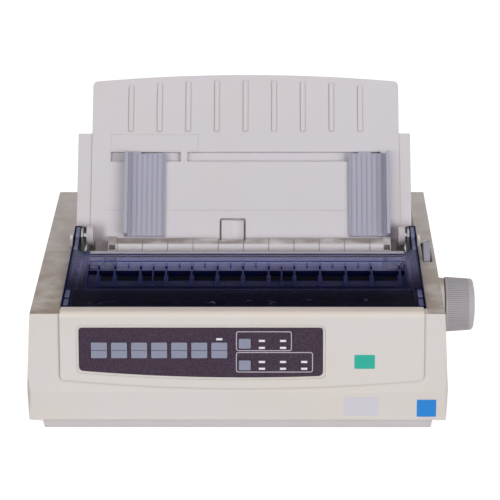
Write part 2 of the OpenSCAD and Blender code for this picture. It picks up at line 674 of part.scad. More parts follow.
// ---- paper separator and sheet guides ----
sep_foot = -3;
module tip_outline() {
    half = sep_w / 2;
    c = 5;
    base = sep_l + tip_l;
    chord = half - c;
    r = (chord * chord + tip_crown * tip_crown) / (2 * tip_crown);
    sweep = asin(chord / r);
    translate([paper_x, 0]) polygon(concat(
        [[-half, sep_l - 1], [half, sep_l - 1]],
        arc(half - c, base - c, c, 0, 84, 5),
        [for (i = [1:23]) let (a = 90 - sweep + 2 * sweep * i / 24)
            [r * cos(a), base + tip_crown - r + r * sin(a)]],
        arc(-half + c, base - c, c, 96, 180, 5)));
}
slot_x = [[paper_x - 127.5, paper_x - 61.3], [paper_x - 55, paper_x + 127.5]];
notch_x = [paper_x - 24, paper_x + 0.4];
// Notch in the foot of the plate for the paper sensor arm, marked in the shelf too.
module sensor_notch(from)
    translate([(notch_x[0] + notch_x[1]) / 2, 6, from]) linear_extrude(plate_t + 12)
        rounded(notch_x[1] - notch_x[0], 27, 2);
channel_t = 1.2;      // wall of the channel behind the slot
wing_foot = 11;       // the wings start this far up the plate
wing_step = 0.9;      // the wings lie this far behind the front of the plate
channel_d = 2.2;      // room behind the plate for the feet of the sheet guides
module paper_separator() color("#c9c4c8") placed() {
    difference() {
        union() {
            on_separator() {
                difference() {
                    union() {
                        box(paper_x - sep_w / 2, paper_x + sep_w / 2, sep_foot, sep_l, -plate_t, 0);
                        translate([0, 0, -plate_t]) linear_extrude(plate_t) tip_outline();
                        // Channel that closes the back of the slot.
                        box(slot_x[0][0] - 4, slot_x[1][1] + 4, slot_up - 4.5, slot_up + slot_h + 4.5,
                            -plate_t - channel_d - channel_t, -plate_t / 2);
                        // Ribs that keep the paper off the tip, as high as its crown lets them.
                        for (i = [-4:4]) translate([paper_x + i * crest_pitch, 0, 0])
                            box(-crest_w / 2, crest_w / 2, sep_l + 2,
                                sep_l + tip_l + tip_crown - 6 - 0.34 * i * i, -0.5, 1.1);
                        // Pocket behind the notch.
                        box(notch_x[0] - 2, notch_x[1] + 2, -1, 22, -plate_t - 4, -plate_t + 0.4);
                        // Wings, a step behind the front of the plate.
                        for (s = [-1, 1]) along_x(
                                s < 0 ? paper_x - wing_span / 2 - 1.2 : paper_x + sep_w / 2 - 6,
                                s < 0 ? paper_x - sep_w / 2 + 6 : paper_x + wing_span / 2 - 1.2)
                            polygon([[wing_foot, -wing_step], [sep_l, -wing_step],
                                [sep_l, -plate_t - wing_step], [wing_foot, -plate_t - wing_step]]);
                    }
                    for (s = slot_x) {
                        box(s[0], s[1], slot_up, slot_up + slot_h, -plate_t - cut, cut);
                        box(s[0], s[1], slot_up - 3.3, slot_up + slot_h + 3.3,
                            -plate_t - channel_d, -plate_t);
                    }
                    box(paper_x - 127.4, paper_x - 44.8, slot_up + slot_h + 1.5, sep_l - 1, -0.2, cut);
                    // The notch is a deep groove round a panel, with a round hollow for the sensor.
                    difference() {
                        sensor_notch(-plate_t - 2.6);
                        difference() {
                            box(notch_x[0] + 1.7, notch_x[1] - 1.7, -2, 17.8, -plate_t - 3, -0.8);
                            translate([notch_x[1] - 8.3, -3, 6.1]) rotate([-90, 0, 0])
                                cylinder(r = 9.4, h = 30);
                        }
                    }
                    box(paper_x - sep_w / 2 + 14, paper_x + sep_w / 2 - 14, 27, 27.6, -0.15, cut);
                }
            }
            for (s = [-1, 1]) x_rod(2 * ear_r, ear_x(s) - ear_t / 2, ear_x(s) + ear_t / 2,
                sep_pivot_y, sep_pivot_z);
        }
        for (s = [-1, 1]) x_rod(pin_d + 2 * run_fit, ear_x(s) - ear_t / 2 - cut,
            ear_x(s) + ear_t / 2 + cut, sep_pivot_y, sep_pivot_z);
    }
}
left_guide_x = paper_x - 113.4;      // outer edge of each sheet guide
right_guide_x = paper_x + 135.5;
guide_foot = 1.5;
// Sheet guide; x is measured inwards from its outer edge, side is 1 or -1.
module sheet_guide(edge, side, clip) color("#a2a0ae") placed() on_separator()
    translate([edge, 0, 0]) mirror([side > 0 ? 0 : 1, 0, 0]) {
        box(0, guide_w, guide_foot, guide_foot + guide_l, gap, gap + 2);
        for (i = [1:7]) box(guide_w * i / 8 - 0.3 + 2, guide_w * i / 8 + 0.3 + 2,
            guide_foot, guide_foot + guide_l, gap + 1.5, gap + 2.6);
        box(guide_w - 1, guide_w, guide_foot, guide_foot + guide_l, gap + 2, gap + 2.8);
        // Fin that the edge of the paper runs along, pierced below its head.
        difference() {
            box(0, 3, guide_foot, guide_foot + guide_l, gap, fin_h);
            for (i = [0:7]) box(-cut, 3 + cut, guide_foot + 10 + 6 * i, guide_foot + 13.6 + 6 * i,
                gap + 4, fin_h - 2.5);
        }
        // Clip through the slot, with a foot behind the plate.
        box(clip, clip + 12, slot_up + gap, slot_up + slot_h - gap, -plate_t - gap - 1.6, gap + 1);
        box(clip, clip + 12, slot_up - 3, slot_up + slot_h + 3, -plate_t - gap - 1.6, -plate_t - gap);
    }
module left_sheet_guide() sheet_guide(left_guide_x, 1, 3);
module right_sheet_guide() sheet_guide(right_guide_x, -1, 17);
bar_x0 = paper_x - 120.4;
bar_x1 = paper_x + 128.6;
bar_pitch = 23.5;                    // fine lines round the nose
nose = [-12.8, 10.6];                // middle of the bar's round nose, off the plate
nose_r = 5.5;
shelf_end = [-1.8, 6.2];             // rear edge of the shelf behind the nose
apron_y = 2;
apron_z = 87;
apron_t = 1.6;
nose_z = 108;
// A place in the machine, as seen from the foot of the plate.
function off_plate(y, z) = [(y - sep_pivot_y) * sin(lean) + (z - sep_pivot_z) * cos(lean),
    (z - sep_pivot_z) * sin(lean) - (y - sep_pivot_y) * cos(lean) + plate_back];
module bar_section(r) {
    turn = 42;
    translate(nose) circle(r);
    polygon([[nose.x + r * cos(turn), nose.y + r * sin(turn)], shelf_end + (r - nose_r) * [0.7, 0.7],
        [nose.x, nose.y - r]]);
}
module paper_guide_bar() color("#b9b3b5") placed() on_separator() {
    // Sheets pass between the shelf and the foot of the plate.
    difference() {
        along_x(bar_x0, bar_x1) bar_section(nose_r);
        for (i = [0:10]) translate([bar_x0 + 1.5 + i * bar_pitch, 0, 0]) difference() {
            along_x(-0.4, 0.4) bar_section(nose_r + 1);
            along_x(-0.5, 0.5) bar_section(nose_r - 0.5);
        }
        difference() {
            sensor_notch(shelf_end.y - 0.3);
            along_x(notch_x[0] - cut, notch_x[1] + cut) bar_section(nose_r - 1.5);
        }
    }
    // Apron that keeps the paper going in apart from the paper coming out.
    along_x(bar_x0 + 0.5, bar_x1 - 0.5) polygon([
        off_plate(apron_y, nose_z), off_plate(apron_y, apron_z + 1.2),
        off_plate(apron_y + 0.8, apron_z), off_plate(apron_y + apron_t, apron_z),
        off_plate(apron_y + apron_t, nose_z)]);
    // End brackets.
    for (x = [bar_x0 - 7, bar_x1]) along_x(x, x + 7) polygon([
        [nose.x - 5.2, nose.y - 2], [nose.x - 5.2, nose.y + 4.6], [nose.x + 2, nose.y + 5.4],
        [0, 5.4], [0, 0.02], [sep_foot, 0.02]]);
}

// ---- chassis ----
bush_d = platen_shaft_d + 6;
rail_y = rod_y - 36;
rail_top = rod_z + 3;
module chassis_plate() color("#a7a9ac") placed() {
    box(frame_xl - 8, frame_xr + 8, rail_y - 1.6, drive_y + 16, chassis_z, frame_z0);
    // Front flange that the carriage runs on.
    box(frame_xl + frame_t + gap, frame_xr - frame_t - gap, rail_y - 1.6, rail_y, chassis_z, rail_top);
    // Bracket and axle of the idler pulley.
    box(idler_x - 9, idler_x + 9, belt_y + belt_w / 2 + 3, belt_y + belt_w / 2 + 5, chassis_z, pulley_z + 6);
    y_rod(5, belt_y - belt_w / 2 - 2, belt_y + belt_w / 2 + 4, idler_x, pulley_z);
}
pinch_turn = 35;
pinch_d = 12;
pinch_shaft_d = 4;
pinch_off = platen_r + pinch_d / 2 + gap;
pinch_y = -platen_y + pinch_off * sin(pinch_turn);
pinch_z = platen_z - pinch_off * cos(pinch_turn);
module frame_plate(x) difference() {
    tab = 8;
    along_x(x, x + frame_t) polygon([[rail_y + gap, frame_z0], [rail_y + gap, rod_z + 12],
        [rail_y + 34, frame_top], [sep_pivot_y - tab, frame_top], [sep_pivot_y - tab, sep_pivot_z + 2],
        [sep_pivot_y - tab + 4, sep_pivot_z + 6], [sep_pivot_y + tab - 4, sep_pivot_z + 6],
        [sep_pivot_y + tab, sep_pivot_z + 2], [sep_pivot_y + tab, frame_top],
        [support_y + 10, frame_top - 6], [support_y + 10, drive_z - 14],
        [drive_y + 14, frame_z0]]);
    x_rod(bush_d, x - cut, x + frame_t + cut, -platen_y, platen_z);
    x_rod(rod_d + 2 * run_fit, x - cut, x + frame_t + cut, rod_y, rod_z);
    x_rod(tractor_sq + 2 * run_fit, x - cut, x + frame_t + cut, drive_y, drive_z);
    x_rod(tractor_rod_d + 2 * run_fit, x - cut, x + frame_t + cut, support_y, drive_z);
    x_rod(pin_d + 2 * run_fit, x - cut, x + frame_t + cut, sep_pivot_y, sep_pivot_z);
    x_rod(pinch_shaft_d + 2 * run_fit, x - cut, x + frame_t + cut, pinch_y, pinch_z);
    // Lightening windows.
    along_x(x - cut, x + frame_t + cut) polygon([[-18, 24], [-18, 52], [2, 52], [2, 24]]);
    along_x(x - cut, x + frame_t + cut) polygon([[8, 24], [8, 52], [20, 52], [32, 24]]);
}
axle_d = 6;
module side_frame_left() color("#a7a9ac") placed() {
    difference() {
        frame_plate(frame_xl);
        x_rod(10, frame_xl - cut, frame_xl + frame_t + cut, pinion_y, pinion_z);
    }
    // Fixed axle of the tractor idler gear.
    x_rod(axle_d, gear_x - 2, frame_xl, idler_y, idler_z);
    x_rod(axle_d + 4, gear_x + gear_w + gap, frame_xl, idler_y, idler_z);
}
module side_frame_right() color("#a7a9ac") placed() {
    frame_plate(frame_xr - frame_t);
    // Fixed axle of the paper lever.
    x_rod(axle_d, frame_xr, lever_x + 4, lever_y, lever_z);
}

// ---- platen and feed train ----
module platen_roller() color("#26262a") placed() difference() {
    x_rod(platen_d, paper_x - platen_l / 2, paper_x + platen_l / 2, -platen_y, platen_z);
    x_rod(platen_shaft_d, paper_x - platen_l / 2 - cut, paper_x + platen_l / 2 + cut, -platen_y, platen_z);
}
knob_x = side_x(platen_z) + 5.2;
collar_d = 48.6;
knob_dome = 2.6;
middle_x = (knob_x + knob_l + knob_dome - case_w / 2 - side_flare) / 2;
module platen_shaft() color("#b5b8bd") placed()
    x_rod(platen_shaft_d, gear_x - 2, knob_x + knob_l - 6, -platen_y, platen_z);
module platen_bushes() color("#e6e2d6") placed() for (s = [-1, 1]) {
    x = s < 0 ? frame_xl : frame_xr - frame_t;
    difference() {
        union() {
            x_rod(bush_d, x, x + frame_t, -platen_y, platen_z);
            // Flange on the inner side of the frame.
            x_rod(bush_d + 6, s < 0 ? x + frame_t : x - 2, s < 0 ? x + frame_t + 2 : x, -platen_y, platen_z);
        }
        x_rod(platen_shaft_d + 2 * run_fit, x - 4, x + frame_t + 4, -platen_y, platen_z);
    }
}
platen_turn = 0;
pinion_dir = atan2(pinion_z - platen_z, pinion_y + platen_y);
module platen_gear() color("#e3ddc8") placed() difference() {
    x_gear(platen_n, gear_w, platen_shaft_d, gear_x, -platen_y, platen_z, platen_turn);
    // Six holes in the web.
    for (i = [0:5]) x_rod(9, gear_x - cut, gear_x + gear_w + cut,
        -platen_y + 16 * cos(60 * i + 30), platen_z + 16 * sin(60 * i + 30));
}
module platen_knob() color("#a49fa6") placed() difference() {
    r = knob_d / 2;
    translate([knob_x, -platen_y, platen_z]) rotate([0, 90, 0]) difference() {
        rotate_extrude($fn = 96) polygon(concat([[0, 0], [r - 1, 0], [r, 1], [r - 1.6, knob_l - 2]],
            [for (i = [1:4]) let (a = i * 18) [r - 4.6 + 3 * cos(a), knob_l - 2 + 3 * sin(a)]],
            [[r - 10, knob_l + knob_dome - 0.6], [0, knob_l + knob_dome]]));
        for (i = [0:79]) rotate([0, 0, 4.5 * i]) translate([r - 0.7, -0.25, 2])
            rotate([0, -atan(1.6 / (knob_l - 2)), 0]) cube([3, 0.5, knob_l - 6]);
        // Hollow root round the shaft boss.
        translate([0, 0, -cut]) difference() {
            cylinder(r = r - 4, h = 9);
            cylinder(d = platen_shaft_d + 6, h = 12);
        }
    }
    x_rod(platen_shaft_d, knob_x - cut, knob_x + knob_l - 6, -platen_y, platen_z);
}
feed_motor_r = 13.5;
motor_shaft_d = 5;
module feed_motor() color("#55575c") placed() {
    x_rod(2 * feed_motor_r, frame_xl + frame_t, frame_xl + frame_t + 20, pinion_y, pinion_z);
    x_rod(9.6, frame_xl, frame_xl + frame_t + 1, pinion_y, pinion_z);
    x_rod(motor_shaft_d, gear_x - 2, frame_xl + 1, pinion_y, pinion_z);
}
module feed_pinion() color("#c9a45c") placed()
    x_gear(pinion_n, gear_w + 2, motor_shaft_d + 2 * run_fit, gear_x - 1, pinion_y, pinion_z,
        mesh(platen_turn, platen_n, pinion_n, pinion_dir));
idler_mesh = mesh(platen_turn, platen_n, idler_n, idler_turn);
module tractor_idler_gear() color("#e3ddc8") placed() difference() {
    x_gear(idler_n, gear_w, axle_d + 2 * run_fit, gear_x, idler_y, idler_z, idler_mesh);
    for (i = [0:4]) x_rod(8, gear_x - cut, gear_x + gear_w + cut,
        idler_y + 13 * cos(72 * i + 18), idler_z + 13 * sin(72 * i + 18));
}
module tractor_drive_shaft() color("#b5b8bd") placed() {
    half = tractor_sq / 2;
    x_gear(tractor_n, gear_w, 4, gear_x, drive_y, drive_z,
        mesh(idler_mesh, idler_n, tractor_n, idler_to_drive));
    x_rod(tractor_sq, gear_x, frame_xl + frame_t + 3, drive_y, drive_z);
    box(frame_xl + frame_t + 2, frame_xr - frame_t - 2, drive_y - half, drive_y + half,
        drive_z - half, drive_z + half);
    x_rod(tractor_sq, frame_xr - frame_t - 3, frame_xr + 3, drive_y, drive_z);
}
module tractor_support_shaft() color("#b5b8bd") placed()
    x_rod(tractor_rod_d, frame_xl - 2, frame_xr + 2, support_y, drive_z);

// ---- tractors ----
body_r = 11;
pin_h = 3.2;
lid_z = drive_z + body_r + 1.5;
lid_y = [drive_y - 10, support_y - 2];
lid_out = tractor_w / 2 + 2.2;       // distance of the lid's pin from the middle of the tractor
module tractor(x, side) color("#8e8b92") placed() {
    hinge_x = x + side * lid_out;
    difference() {
        union() {
            along_x(x - tractor_w / 2, x + tractor_w / 2) {
                translate([drive_y, drive_z]) circle(body_r);
                translate([support_y, drive_z]) circle(body_r);
                translate([drive_y, drive_z - body_r]) square([support_y - drive_y, 2 * body_r]);
            }
            // Lugs that hold the ends of the lid's pin.
            for (y = [lid_y[0], lid_y[1] - 3]) box(min(x + side * (tractor_w / 2 - 1), hinge_x + side * 1.5),
                max(x + side * (tractor_w / 2 - 1), hinge_x + side * 1.5), y, y + 3, lid_z - 5, lid_z + 1);
        }
        // Room for the sprocket and its pins.
        x_rod(2 * (sprocket_r + pin_h + 0.6), x - 4.4, x + 4.4, drive_y, drive_z);
        x_rod(13, x - tractor_w, x + tractor_w, drive_y, drive_z);
        x_rod(tractor_rod_d + 2 * run_fit, x - tractor_w, x + tractor_w, support_y, drive_z);
    }
    y_rod(2, lid_y[0], lid_y[1], hinge_x, lid_z - 0.6);
}
module left_tractor() tractor(left_tractor_x, -1);
module right_tractor() tractor(right_tractor_x, 1);
module sprocket(x) color("#3a3b40") placed() difference() {
    union() {
        x_rod(2 * sprocket_r, x - 3.6, x + 3.6, drive_y, drive_z);
        for (i = [0:5]) translate([x, drive_y, drive_z]) rotate([60 * i + 30, 0, 0]) {
            cylinder(d = 4, h = sprocket_r + pin_h - 1.2);
            translate([0, 0, sprocket_r + pin_h - 1.2]) cylinder(d1 = 4, d2 = 2.6, h = 1.2);
        }
    }
    translate([x, drive_y, drive_z])
        cube([20, tractor_sq + 2 * run_fit, tractor_sq + 2 * run_fit], center = true);
}
module left_sprocket() sprocket(left_tractor_x);
module right_sprocket() sprocket(right_tractor_x);
module tractor_lid(x, side) color("#8e8b92") placed() {
    hinge_x = x + side * lid_out;
    inner = x - side * (tractor_w / 2 - 2);
    y0 = lid_y[0] + 3 + gap;
    y1 = lid_y[1] - 3 - gap;
    top = drive_z + sprocket_r + pin_h + 0.5;
    difference() {
        union() {
            box(min(inner, hinge_x + side * 1.4), max(inner, hinge_x + side * 1.4), y0, y1, top, top + 1.6);
            box(hinge_x - 1.4, hinge_x + 1.4, y0, y1, lid_z - 0.6, top + 1);
            y_rod(3.6, y0, y1, hinge_x, lid_z - 0.6);
        }
        y_rod(2 + 2 * run_fit, y0 - cut, y1 + cut, hinge_x, lid_z - 0.6);
    }
}
module left_tractor_lid() tractor_lid(left_tractor_x, -1);
module right_tractor_lid() tractor_lid(right_tractor_x, 1);

// ---- carriage, head and ribbon ----
block_top = rod_z + rod_d / 2 + 4;
block_low = rod_z - rod_d / 2 - 2;
belt_top = pulley_z + pulley_r;
module carriage() color("#4a4b50") placed() difference() {
    w = carriage_w / 2;
    union() {
        box(head_x - w, head_x + w, rod_y - 14, rod_y + 12, block_low, block_top);
        // Plate that reaches over the front flange, with a lip on each side of it.
        box(head_x - w, head_x + w, rail_y - 5, rod_y - 13, rail_top + gap, block_top);
        box(head_x - w, head_x + w, rail_y - 5, rail_y - 1.6 - gap, rail_top - 8, block_top);
        box(head_x - w, head_x + w, rail_y + gap, rail_y + 4, rail_top - 8, block_top);
        // Table and posts of the ribbon cartridge.
        box(head_x - 40, head_x + 40, rail_y + 8, rod_y + 10, block_top - 0.5, block_top + 1.5);
        for (s = [-1, 1]) box(head_x + s * 34 - 5, head_x + s * 34 + 5, rod_y - 20, rod_y,
            block_top + 1, cart_z);
        // Clamp that grips the belt.
        box(head_x - 7, head_x + 7, belt_y - belt_w / 2 - 2.5, belt_y + belt_w / 2 + 2.5,
            belt_top - 3, block_low + 1);
    }
    x_rod(rod_d + 2 * run_fit, head_x - w - cut, head_x + w + cut, rod_y, rod_z);
    box(head_x - 8, head_x + 8, belt_y - belt_w / 2 - gap, belt_y + belt_w / 2 + gap,
        belt_top - gap, belt_top + belt_t + gap);
}
head_top = block_top + 24;
nose_y = -platen_y - platen_r - 1.2;
module print_head() color("#8f9296") placed() difference() {
    union() {
        box(head_x - 16, head_x + 16, rod_y - 10, rod_y + 15, block_top + 1.5, head_top);
        along_x(head_x - 6, head_x + 6) polygon([[rod_y + 14, block_top + 4], [rod_y + 14, block_top + 20],
            [nose_y - 8, platen_z + 8], [nose_y, platen_z + 5.5], [nose_y, platen_z - 5.5],
            [nose_y - 8, block_top + 4]]);
    }
    // Cooling fins.
    for (i = [0:5]) box(head_x - 17, head_x + 17, rod_y - 8.6 + i * 3.8, rod_y - 6.6 + i * 3.8,
        block_top + 7, head_top + cut);
}
cart_z = block_top + 15;
cart_h = 14;
arm_x = 34;
module ribbon_cartridge() color("#1d1d20") placed() difference() {
    union() {
        box(head_x - cart_w / 2, head_x + cart_w / 2, rail_y + 3, rod_y + 10, cart_z, cart_z + cart_h);
        for (s = [-1, 1]) box(head_x + s * arm_x - 4, head_x + s * arm_x + 4, rod_y + 9, nose_y,
            platen_z - 7, cart_z + cart_h - 2);
    }
    box(head_x - 18, head_x + 18, rod_y - 12, rod_y + 20, cart_z - cut, cart_z + cart_h + cut);
    translate([head_x + ribbon_knob_at.x, ribbon_knob_at.y, cart_z + 2])
        cylinder(d = 6 + 2 * run_fit, h = cart_h);
}
ribbon_knob_at = [-26, rod_y - 22];
module ribbon_knob() color("#4d6fa8") placed()
    translate([head_x + ribbon_knob_at.x, ribbon_knob_at.y, cart_z + 2.3]) {
    cylinder(d = 6, h = cart_h);
    translate([0, 0, cart_h - 2 + gap]) {
        cylinder(d = 15, h = 4);
        for (i = [0:9]) rotate([0, 0, 36 * i]) translate([7, -0.8, 0]) cube([1.4, 1.6, 4]);
    }
}
ribbon_h = 13;
module ribbon() color("#101014") placed()
    box(head_x - arm_x - 4, head_x + arm_x + 4, nose_y + 0.1, nose_y + 0.4,
        platen_z - ribbon_h / 2, platen_z + ribbon_h / 2);
module carriage_shaft() color("#c3c6ca") placed()
    x_rod(rod_d, frame_xl - 2, frame_xr + 2, rod_y, rod_z);
motor_face = belt_y + belt_w / 2 + 3;
module spacing_motor() color("#55575c") placed() {
    y_rod(30, motor_face, motor_face + 34, motor_x, pulley_z);
    y_rod(motor_shaft_d, belt_y - belt_w / 2 - 2, motor_face + 1, motor_x, pulley_z);
    box(motor_x - 11, motor_x + 11, motor_face + 3, motor_face + 30, frame_z0, pulley_z - 8);
}
module pulley(x) color("#b5b8bd") placed() difference() {
    w = belt_w / 2 + 0.5;
    union() {
        y_rod(pulley_d, belt_y - w, belt_y + w, x, pulley_z);
        y_rod(pulley_d + 3.4, belt_y - w - 1, belt_y - w, x, pulley_z);
        y_rod(pulley_d + 3.4, belt_y + w, belt_y + w + 1, x, pulley_z);
    }
    y_rod(motor_shaft_d + 2 * run_fit, belt_y - w - 3, belt_y + w + 3, x, pulley_z);
}
module motor_pulley() pulley(motor_x);
module idler_pulley() pulley(idler_x);
module belt_loop(r) {
    for (x = [idler_x, motor_x]) translate([x, pulley_z]) circle(r);
    translate([idler_x, pulley_z - r]) square([motor_x - idler_x, 2 * r]);
}
module carriage_belt() color("#1c1c1e") placed() difference() {
    along_y(belt_y - belt_w / 2, belt_y + belt_w / 2) belt_loop(pulley_r + belt_t);
    along_y(belt_y - belt_w, belt_y + belt_w) belt_loop(pulley_r + run_fit);
}

// ---- paper lever, pinch rollers and pan ----
head_r = 2.6;
module paper_lever() color("#8f8d9c") placed() difference() {
    half = 3;
    union() {
        x_rod(13, lever_x - half, lever_x + half, lever_y, lever_z);
        along_x(lever_x - half, lever_x + half) polygon([
            [lever_y - 6, lever_z - 1], [lever_y + 6, lever_z + 1],
            [lever_y - 5, lever_z + 32], [lever_y + 1, lever_z + 42], [lever_y - 1, lever_z + 46],
            [lever_y - 6, lever_z + 47], [lever_y - 14, lever_z + 38], [lever_y - 16, lever_z + 30]]);
    }
    x_rod(axle_d + 2 * run_fit, lever_x - half - cut, lever_x + half + cut, lever_y, lever_z);
    // Round top, as seen from the front.
    top = lever_z + 47 + cut;
    for (s = [0, 1]) along_y(lever_y - 20, lever_y + 8) polygon(concat(
        arc(lever_x + (s == 0 ? 1 : -1) * (half - head_r), top - head_r, head_r, 90 * s, 90 * s + 90, 5),
        [[lever_x + (s == 0 ? 1 : -1) * (half + 1), top + 1]]));
}
pinch_x = [for (i = [-1.5:1:1.5]) paper_x + i * 64];
module pinch_rollers() color("#2c2c30") placed() {
    x_rod(pinch_shaft_d, frame_xl - 1, frame_xr + 1, pinch_y, pinch_z);
    for (x = pinch_x) x_rod(pinch_d, x - 11, x + 11, pinch_y, pinch_z);
}
pan_r = platen_r + 1.2;
pan_t = 1.2;
module paper_pan() color("#77787d") placed() difference() {
    x0 = frame_xl + frame_t + gap;
    x1 = frame_xr - frame_t - gap;
    along_x(x0, x1) {
        translate([-platen_y, platen_z]) intersection() {
            difference() { circle(pan_r + pan_t); circle(pan_r); }
            polygon([[0, 0], [-40, -28], [-40, -60], [40, -60], [40, -8]]);
        }
        // Chute from the pan up to the tractors.
        polygon([[-platen_y + 17.2, platen_z - 3.5], [-platen_y + 18.4, platen_z - 4.4],
            [drive_y - 20, drive_z + 11], [drive_y - 21, drive_z + 12]]);
    }
    for (x = pinch_x) box(x - 12, x + 12, pinch_y - 9, pinch_y + 8, pinch_z - 8, pinch_z + 9);
}

// ---- electronics ----
board_y = [drive_y + 24, y_back - 22];
module main_board() color("#2f6a3f") placed() {
    z = chassis_z + 1.6;
    box(-150, 88, board_y[0], board_y[1], chassis_z, z);
    color("#1e1e20") for (x = [-120, -70, -20]) box(x, x + 34, board_y[0] + 18, board_y[0] + 32, z, z + 4);
    color("#35507f") for (x = [30, 48, 66]) translate([x, board_y[0] + 14, z]) cylinder(d = 14, h = 22);
    color("#9a9ca0") box(20, 76, board_y[1] - 26, board_y[1] - 22, z, z + 26);
}
module power_transformer() color("#6b5a48") placed() {
    box(98, 156, board_y[0] + 2, board_y[0] + 52, chassis_z, chassis_z + 44);
    color("#b08a50") box(108, 146, board_y[0] - 4, board_y[0] + 58, chassis_z + 8, chassis_z + 36);
    color("#8d8f92") for (x = [103, 151], y = [board_y[0] + 7, board_y[0] + 47])
        translate([x, y, foot_h + wall / 2 + 0.5]) cylinder(d = 7, h = chassis_z - foot_h - wall / 2);
}
rocker_y = y_back - 5;
rocker_z = socket_z + 10;
module ac_inlet() color("#222226") placed() difference() {
    union() {
        box(inlet_x - 14, switch_x + 10, y_back - 24, y_back - 1.2, socket_z, socket_z + 22);
        // Flange behind the wall of the case.
        box(inlet_x - 16, switch_x + 12, y_back - 8, y_back - 5.6, socket_z - 2, socket_z + 24);
    }
    // Three-pin inlet.
    difference() {
        box(inlet_x - 11, inlet_x + 11, y_back - 17, y_back, socket_z + 3, socket_z + 19);
        for (p = [[-6, 9], [6, 9], [0, 13]])
            box(inlet_x + p[0] - 1, inlet_x + p[0] + 1, y_back - 18, y_back - 9.4,
                socket_z + p[1] - 2, socket_z + p[1] + 2);
    }
    // Well of the rocker.
    box(switch_x - 7, switch_x + 7, y_back - 16, y_back, socket_z + 1, socket_z + 21);
}
module power_switch() color("#2d2d31") placed() {
    translate([switch_x, rocker_y, rocker_z + 1]) rotate([8, 0, 0]) along_x(-6.6, 6.6)
        polygon([[-4, -8], [4.4, -8.4], [2.6, 0], [4.4, 8.4], [-4, 8]]);
    x_rod(3, switch_x - 6.9, switch_x + 6.9, rocker_y, rocker_z + 1);
}
module interface_connector() color("#8d8f92") placed() difference() {
    union() {
        box(port_x - 30, port_x + 30, y_back - 34, y_back - 8, socket_z, socket_z + 16);
        box(port_x - 35.6, port_x + 35.6, y_back - 10, y_back - 2, socket_z, socket_z + 16);
        for (s = [-1, 1]) box(port_x + s * 26 - 3, port_x + s * 26 + 3, y_back - 34, y_back - 26,
            chassis_z + 1.6, socket_z + 1);
    }
    difference() {
        box(port_x - 28, port_x + 28, y_back - 14, y_back, socket_z + 4, socket_z + 12);
        box(port_x - 25, port_x + 25, y_back - 15, y_back - 8, socket_z + 6.8, socket_z + 9.2);
    }
}

upper_case();
lower_case();
rubber_feet();
case_screws();
chassis_plate();
side_frame_left();
side_frame_right();
control_overlay();
key_1();
key_2();
key_3();
key_4();
key_5();
key_6();
key_7();
key_8();
key_9();
lamp_windows();
panel_board();
access_cover();
cover_foam();
hinge_pins();
paper_separator();
left_sheet_guide();
right_sheet_guide();
paper_guide_bar();
platen_roller();
platen_shaft();
platen_bushes();
platen_gear();
platen_knob();
feed_motor();
feed_pinion();
tractor_idler_gear();
tractor_drive_shaft();
tractor_support_shaft();
left_tractor();
right_tractor();
left_sprocket();
right_sprocket();
left_tractor_lid();
right_tractor_lid();
carriage();
print_head();
ribbon_cartridge();
ribbon_knob();
ribbon();
carriage_shaft();
spacing_motor();
motor_pulley();
idler_pulley();
carriage_belt();
paper_lever();
pinch_rollers();
paper_pan();
main_board();
power_transformer();
ac_inlet();
power_switch();
interface_connector();
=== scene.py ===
# %% [markdown]
# # A dot matrix printer and its finishes
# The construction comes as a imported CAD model: every piece at its real size, with its hinges,
# slides and gears. This lesson loads it as a fixed frame, gives each piece the finish that its
# real material has, and adds the few thin things that are easier to model here, such as printed
# lines and stickers. All lengths are in metres, +X is the printer's right and +Z is up. The
# middle of the case lies a little to the left of the origin, because the knob on the right
# counts too.

# %% Load the frame
import math

import bpy
from mathutils import Matrix, Vector


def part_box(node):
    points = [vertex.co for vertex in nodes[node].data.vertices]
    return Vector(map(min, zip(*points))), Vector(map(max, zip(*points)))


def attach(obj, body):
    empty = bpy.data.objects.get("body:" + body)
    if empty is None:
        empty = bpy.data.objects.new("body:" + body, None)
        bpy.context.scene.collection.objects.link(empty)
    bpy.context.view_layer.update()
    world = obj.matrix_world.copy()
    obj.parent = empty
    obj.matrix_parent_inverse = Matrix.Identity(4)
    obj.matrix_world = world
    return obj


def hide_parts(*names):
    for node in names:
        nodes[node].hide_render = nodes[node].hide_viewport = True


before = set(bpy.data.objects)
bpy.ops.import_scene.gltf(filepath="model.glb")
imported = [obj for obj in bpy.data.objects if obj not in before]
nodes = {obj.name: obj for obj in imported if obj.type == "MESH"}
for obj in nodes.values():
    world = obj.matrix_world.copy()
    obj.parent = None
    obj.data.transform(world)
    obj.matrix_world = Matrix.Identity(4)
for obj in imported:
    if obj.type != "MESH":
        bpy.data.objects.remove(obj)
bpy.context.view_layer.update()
MM = 0.001
CASE_HALF = 184 * MM
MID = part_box("upper_case")[0][0] + CASE_HALF

# %% [markdown]
# ## The camera
# The printer stands square to the lens, seen from 18 degrees above through a long lens, which
# keeps its sides nearly parallel. The camera is built from its three axes, so a small roll can
# be written down as an angle and nothing has to be turned by hand.

# %% Place the camera
ELEVATION = math.radians(18.359)
YAW = math.radians(-0.555)
ROLL = math.radians(-0.173)
DISTANCE = 2.30527
AIM_ASIDE, AIM_HEIGHT = 0.00968, 0.10904
SENSOR, LENS_PER_SENSOR = 36.0, 4.958534

target = Vector((MID + AIM_ASIDE, 0.0, AIM_HEIGHT))
view_dir = Vector((math.sin(YAW) * math.cos(ELEVATION),
                   math.cos(YAW) * math.cos(ELEVATION),
                   -math.sin(ELEVATION)))
level_right = Vector((math.cos(YAW), -math.sin(YAW), 0))
level_up = level_right.cross(view_dir)
right = math.cos(ROLL) * level_right + math.sin(ROLL) * level_up
up = -math.sin(ROLL) * level_right + math.cos(ROLL) * level_up

